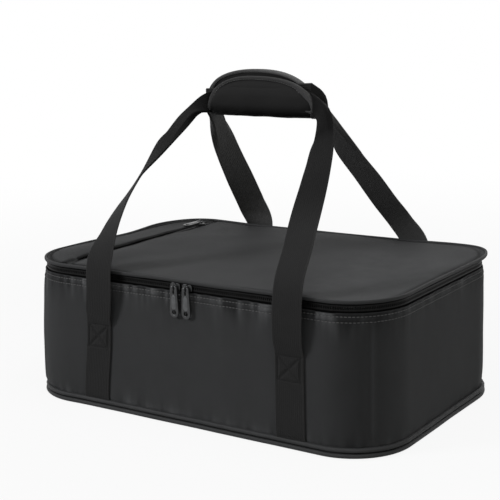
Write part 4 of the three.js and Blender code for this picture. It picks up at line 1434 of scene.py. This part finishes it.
flat_section = folded_section(0, strap_thickness)
flat_section.append(flat_section[0])
strap_heights = [6.0, 6.8, 8, 10, 13, 17, 22, 28, 34, 40, 46, 52, 57, 60] + stops(61, strap_top, 0.9)
box_stitch = {"pitch": 2.6, "length": 2.1, "width": 0.75}
for leg in feet:
    rows = []
    for z in strap_heights:
        row = [on_strap(leg, a, z, 1.25 + b + sewn_relief(a, z) * (b > 0)) for a, b in flat_section]
        rows.append(row)
    wear_and_painted_light = strap_wear_and_painted_light(len(rows), len(flat_section))
    strap = lay(f"{leg}_strap_sewn", rows, closed=True, wear_and_painted_light=wear_and_painted_light)
    dress(strap, strap_webbing, "bag", [f"{leg}_strap_anchor"])
    sew(f"{leg}_strap_stitches", box_lines(leg), dark_thread, "bag", "webbing", **box_stitch)

# %% [markdown]
# Above the sewn end each leg leans, swings out to clear the lid and turns on its way to the grip.
# Its row of shares says how far it has gone across, inwards and up, and which way its width lies.
# Painted shade darkens it towards the grip's mouth, and the front right one from halfway up; painted
# light makes only the back legs' inner face paler.

# %% Legs
leg_shares = {
    "front_left": [
        (0, 0, 0, 1, 0, 0), (0.147, -0.04, 0.152, 1, 0, 0),
        (0.185, -0.05, 0.313, 1, -0.01, 0), (0.212, 0.07, 0.446, 0.92, -0.33, 0.21),
        (0.216, 0.25, 0.565, 0.8, -0.4, 0.45), (0.214, 0.44, 0.656, 0.73, -0.58, 0.38),
        (0.562, 0.62, 0.832, 0.92, -0.38, 0.08), (0.707, 0.82, 0.946, 0.89, -0.46, -0.03),
        (1, 1, 1, 0, 0, -1),
    ],
    "back_left": [
        (0, 0, 0, 1, 0, 0), (0.14, -0.05, 0.13, 1, 0, 0),
        (0.404, -0.05, 0.252, 0.95, 0.27, 0.07), (0.299, 0.01, 0.369, 0.67, 0.58, 0.47),
        (0.377, 0.18, 0.49, 0.59, 0.65, 0.48), (0.517, 0.39, 0.619, 0.39, 0.69, 0.61),
        (0.671, 0.6, 0.75, 0.24, 0.73, 0.64), (0.901, 0.8, 0.884, 0.04, 0.72, 0.69),
        (1, 1, 1, 0, 0, 1),
    ],
    "front_right": [
        (0, 0, 0, 1, 0, 0), (-0.05, -0.04, 0.16, 1, 0, 0),
        (-0.094, -0.05, 0.322, 1, -0.03, 0), (-0.066, 0.1, 0.463, 1, 0.03, 0.1),
        (0.044, 0.29, 0.587, 0.98, 0.11, 0.16), (0.152, 0.49, 0.716, 0.96, 0.03, 0.27),
        (0.31, 0.67, 0.819, 0.88, 0.01, 0.48), (0.551, 0.84, 0.958, 0.54, -0.3, 0.79),
        (1, 1, 1, 0, 0, 1),
    ],
    "back_right": [
        (0, 0, 0, 1, 0, 0), (0.11, -0.05, 0.12, 1, 0, 0),
        (0.158, -0.05, 0.228, 0.99, 0.02, 0.1), (0.426, 0, 0.333, 0.93, -0.11, 0.36),
        (0.598, 0.15, 0.448, 0.98, -0.01, 0.19), (0.71, 0.35, 0.573, 0.99, -0.04, 0.15),
        (0.85, 0.57, 0.714, 0.99, -0.11, 0.07), (0.908, 0.83, 0.877, 0.71, -0.7, 0.06),
        (1, 1, 1, 0, 0, 1),
    ],
}
leg_steps, fold_share = 84, 0.28
strap_face, folded_face = 132.2, 1.8
grip_ends = {"front_left": (50, 296), "front_right": (62.3, 297.3)}
grip_ends |= {"back_left": (62.3, 297.3), "back_right": (62.3, 305.3)}
# Where painted shade starts towards the grip's mouth on each leg, and over how long a share.
painted_shade_mouths = {"front_left": (0.56, 0.14), "front_right": (0.77, 0.1)}
fold_tuck = 0.3

for leg, shares in leg_shares.items():
    side_y = -1 if leg.startswith("front") else 1
    side_x = -1 if leg.endswith("left") else 1
    foot = Vector((sum(feet[leg]), side_y * strap_face, strap_top))
    across_end, height_end = grip_ends[leg]
    goal = Vector((side_x * across_end, side_y * folded_face, height_end))
    reach = goal - foot
    places = [foot + Vector([share * full for share, full in zip(row[:3], reach)]) for row in shares]
    widths = [Vector(row[3:]) for row in shares]
    pressed = swell(foot.x if side_y < 0 else round_trip / 2 - foot.x, strap_top)
    rows = []
    for step in range(leg_steps + 1):
        share = step / leg_steps
        way = (smooth_path(places, share + 1e-4) - smooth_path(places, share - 1e-4)).normalized()
        if step == 0:
            way = up_way
        elif step == leg_steps:
            way = Vector((-side_x, 0, 0))
        across = smooth_path(widths, share)
        across = (across - way * across.dot(way)).normalized()
        face = way.cross(across)
        fold = ease(share, 1 - fold_share, 1)
        stand_off = pressed * (1 - ease(share, 0, 0.3))
        stand_off += 2.6 * ease(share, 0, 0.05) * ease(0.26 - share, 0, 0.16)
        centre = smooth_path(places, share) + Vector((0, side_y * stand_off, 0))
        slack = 0.9 * ripple(share * 240, side_y * 50, side_x * 70, 34)
        slack = slack * ease(share, 0.03, 0.2) * ease(1 - share, 0, 0.2)
        section = folded_section(fold, strap_thickness - 0.6 * fold)
        rows.append([centre + face * slack + across * a + face * b for a, b in section + section[:1]])
    # Painted light pales the back legs' inner face; painted shade darkens each leg into the grip's mouth,
    # and the front right one from halfway up.
    wear_and_painted_light = strap_wear_and_painted_light(len(rows), len(rows[0]), 1.1 if side_y > 0 else 0.0)
    mouth, blur = painted_shade_mouths.get(leg, (0.88, 0.1))
    upper_painted_shade = 0.6 if leg == "front_right" else 0.0
    for k, row in enumerate(wear_and_painted_light):
        share = k / leg_steps
        inside, high_up_painted_shade = 1.5 * ease(share, mouth, mouth + blur), upper_painted_shade * ease(share, 0.4, 0.6)
        wear_and_painted_light[k] = [tone - inside - high_up_painted_shade for tone in row]
    piece = lay(f"{leg}_webbing", rows, closed=True, wear_and_painted_light=wear_and_painted_light)
    word = leg.replace("_", "_handle_")
    dress(piece, strap_webbing, None, [f"{word}_leg"])
    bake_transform(piece)

for handle, side_y in (("front", -1), ("back", 1)):
    section = folded_section(1, folded_thickness)
    left_end, left_height = grip_ends[f"{handle}_left"]
    right_end, right_height = grip_ends[f"{handle}_right"]
    spine = []
    for i in range(33):
        x = (right_end - fold_tuck) * i / 32 - (left_end - fold_tuck) * (1 - i / 32)
        z = right_height * i / 32 + left_height * (1 - i / 32)
        spine.append((Vector((x, side_y * folded_face, z)), up_way, Vector((0, 1, 0))))
    fold_piece = tube(f"{handle}_folded_webbing", spine, section)
    dress(fold_piece, strap_webbing, f"{handle}_handle", [f"{handle}_handle_fold"])

# %% [markdown]
# ## Grip
#
# The grip is a long pad, rounded at both ends, that is wrapped up round both handles: down the back,
# round a bend below and up the front. `wrap` measures along it, from the fold line in front, where
# the flap opens. The pad swells in its middle and is squeezed thin where the binding holds its edge.
# The back pad and the flap meet below the fold line. Each edge
# rises in a flat arch from the shoulders. The underside of the bend is darkened, where light seldom
# reaches.

# %% Grip wrap
bend_radius, pad_thickness = 12.0, 5.3
fold_line, shoulder = 293.5, 288.5
middle_radius = bend_radius - pad_thickness / 2
bend_run = math.pi * middle_radius
seam_run = 4.0
pad_half, flap_rise, back_rise, arch_power = 58.7, 29.2, 35.2, 2.35
face_row, face_row_half = 311.0, 32.0


def skewed(x, run):
    """The flap has slipped to the right on the straps, and the back pad to the left."""
    runs = (-10, 0, seam_run, 10, 16, 22, bend_run, 40)
    left = (0.82, 0.83, 0.85, 0.87, 0.88, 0.93, 1.05, 1.1)
    right = (1.16, 1.16, 1.15, 1.13, 1.11, 1.07, 1.0, 0.99)
    return x * float(np.interp(run, runs, left if x < 0 else right))


def pinch(z):
    """The fastener holds the two sides together above the straps."""
    return 4.5 * ease(z - fold_line, 8, 32)


def wrap(x, run, depth=0.0):
    """A point of the wrap, depth inside its outer face, and the way out there."""
    turn = min(max(run / middle_radius, 0.0), math.pi)
    out = Vector((0, -math.cos(turn), -math.sin(turn)))
    past = -run if run < 0 else max(0.0, run - bend_run)
    spot = Vector((skewed(x, run), 0, fold_line + past)) + out * (bend_radius - depth)
    curl = 3.0 * ease(spot.x, 54, 74) * (run < seam_run)
    spot.y -= math.copysign(pinch(spot.z) + curl, out.y)
    return spot, out


def run_at(z, front):
    """The run at which the wrap reaches height z, in front or behind."""
    if z >= fold_line:
        return fold_line - z if front else bend_run + z - fold_line
    below = middle_radius * math.asin(min(1.0, (fold_line - z) / middle_radius))
    return below if front else bend_run - below


def pad_ends(x):
    """The runs at which the pad's two arched edges lie, in front and behind, at x."""
    lifted = max(0.0, 1 - abs(x / pad_half) ** arch_power) ** (1 / arch_power)
    return run_at(shoulder + flap_rise * lifted, True), run_at(shoulder + back_rise * lifted, False)


def pad_depths(x, run):
    """How deep the pad's two faces lie, by how far the nearest edge is."""
    low, high = pad_ends(x)
    ends = (pad_half - abs(x)) * 1.2
    rim = max(0.0, min(run - low, high - run, ends + 1.5))
    swollen = 1.5 - 1.2 * hill(run, bend_run / 2, 9)
    outer = 0.9 * math.exp(-rim / 2.2) - swollen * (1 - math.exp(-rim / 8))
    outer += 0.55 * ripple(x, run, 3, 22)
    outer += 0.2 * ripple(x, run, 8, 8)
    if run < 0 and abs(x) < face_row_half:
        outer += 0.45 * hill(fold_line - run, face_row, 1.1)
    return outer, pad_thickness - 0.6 * math.exp(-rim / 2.5)


def wrap_pad(name, front):
    rows, wear_and_painted_light = [], []
    for i in range(65):
        x = pad_half * math.sin(math.pi * (i / 64 - 0.5))
        low, high = pad_ends(x)
        start, end = (min(low, seam_run - 0.2), seam_run) if front else (seam_run, high)
        count = 30 if front else 56
        runs = [start + (end - start) * k / count for k in range(count + 1)]
        outer = [wrap(x, r, pad_depths(x, r)[0])[0] for r in runs]
        inner = [wrap(x, r, pad_depths(x, r)[1])[0] for r in reversed(runs)]
        rows.append(outer + inner + outer[:1])
        dark = [-hill(r, bend_run / 2 - 4, 9) for r in runs]
        wear_and_painted_light.append(dark + dark[::-1] + dark[:1])
    return lay(name, rows, closed=True, wear_and_painted_light=wear_and_painted_light)


back_pad = wrap_pad("grip_back_pad", False)
dress(back_pad, shaded_grip_cloth, "back_handle", ["grip_back_cover", "grip_back_foam"])
flap_pad = wrap_pad("grip_flap_pad", True)
dress(flap_pad, shaded_grip_cloth, None, ["grip_flap_cover", "grip_flap_foam"])
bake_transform(flap_pad)

# %% [markdown]
# The grip's edge is bound in ribbed tape that runs all round the wrap. Its path is worked out on the
# wrap: over the arch, down past the shoulder and round the bend. It widens at the two ends, where the
# straps come out, and most at the front's right one. A faint stitch row on the face shows where the
# fastener patch is sewn on behind.

# %% Grip binding, stitches and patches
bound_half, binding_wide, binding_thick = 60.2, 2.0, 3.05
patch_low, patch_high, patch_half, patch_back = 300.2, 314.2, 40.0, 5.3


def edge_path(front):
    """(x, run) along one half's bound edge, from the right seam over the arch to the left seam."""
    rise = (flap_rise if front else back_rise) + 1.8
    low = run_at(shoulder, front)
    side = [(bound_half, seam_run + (low - seam_run) * k / 10) for k in range(10)]
    over = []
    for x, lift in arc((0, 0), 1, 0, 180, 60):
        x, lift = (math.copysign(abs(v) ** (2 / arch_power), v) for v in (x, lift))
        over.append((bound_half * x, run_at(shoulder + rise * abs(lift), front)))
    return side + over + [(-x, run) for x, run in reversed(side)]


def binding_painted_light(x, run, front):
    """Painted shade in front but for its right end, and painted light over the back's arch, more on the
    right.
    """
    if front:
        return -0.4 + 0.55 * ease(x, 0.6 * bound_half, bound_half)
    over_arch = ease(run, bend_run / 2, bend_run + 4)
    return -0.5 + (0.65 + 0.8 * ease(x, -20, 30)) * over_arch


def binding(name, front):
    path = edge_path(front)
    section = oval(1, binding_thick, 16, 0.72)
    section.append(section[0])
    rows, seam, wear_and_painted_light = [], [], []
    for i, (x, run) in enumerate(path):
        here, out = wrap(x, run, pad_thickness / 2)
        before, after = path[max(i - 1, 0)], path[min(i + 1, len(path) - 1)]
        way = wrap(*after, pad_thickness / 2)[0] - wrap(*before, pad_thickness / 2)[0]
        way.normalize()
        away = way.cross(out) if front else out.cross(way)
        away = (away if away.x * x >= 0 else -away).normalized()
        past_seam = seam_run + 6 - run if front else run - seam_run
        wide = (8.0 if front and x > 0 else 2.4) * ease(abs(x), 0.7 * bound_half, bound_half)
        wide *= ease(past_seam, 0, 8)
        reach = binding_wide + wide / 2
        middle = here - away * wide / 2
        rows.append([middle + away * a * reach + out * b for a, b in section])
        seam.append((middle - away * 0.55 * reach + out * (binding_thick - 0.1), out))
        wear_and_painted_light.append([binding_painted_light(x, run, front)] * len(section))
    return lay(name, rows, closed=True, wear_and_painted_light=wear_and_painted_light), seam


back_binding, back_seam = binding("grip_back_edge_binding", False)
dress(back_binding, grip_tape, "back_handle", ["grip_back_binding"])
flap_binding, flap_seam = binding("grip_flap_edge_binding", True)
dress(flap_binding, grip_tape, None, ["grip_flap_binding"])
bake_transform(flap_binding)
grip_stitch = {"pitch": 2.8, "length": 2.1, "width": 0.65}
sew("grip_back_stitches", [back_seam], thread, "back_handle", "webbing", **grip_stitch)
above_fold = [(place, out) for place, out in flap_seam if place.z > 298]
sew("grip_flap_stitches", [above_fold], thread, "grip_flap", "webbing", **grip_stitch)

face_run, face_line = fold_line - face_row, []
for x in stops(-face_row_half + 1, face_row_half - 1, 2):
    face_line.append(wrap(x, face_run, pad_depths(x, face_run)[0] - 0.1))
face_stitch = grip_stitch | {"width": 0.55}
sew("grip_face_stitches", [face_line], dark_thread, "grip_flap", "coated_fabric", **face_stitch)

for name, side, finish, body, node in (
    ("hook_patch", -1, hook_mat, "grip_flap", "grip_hook_patch"),
    ("loop_patch", 1, loop_mat, "back_handle", "grip_loop_patch"),
):
    rows = []
    for z in stops(patch_low, patch_high, 1):
        row = []
        risen = (z - patch_low) / (patch_high - patch_low + 1)
        arched = min(1.0, 1.35 * math.sqrt(1 - risen**2))
        for x in stops(-patch_half, patch_half, 2):
            rim = min(patch_half - abs(x), z - patch_low, patch_high - z)
            nap = 0.25 * ripple(x, z, side * 9, 2.2) - 0.3 * hill(rim, 0, 1.2)
            row.append(Vector((side * x * arched, side * (patch_back - nap - pinch(z)), z)))
        rows.append(row)
    dress(lay(name, rows, thickness=1.0), finish, body, [node])

# %% [markdown]
# ## Last look
#
# The colours are shown as they are.

# %% Colour view
bpy.context.scene.view_settings.view_transform = "Standard"
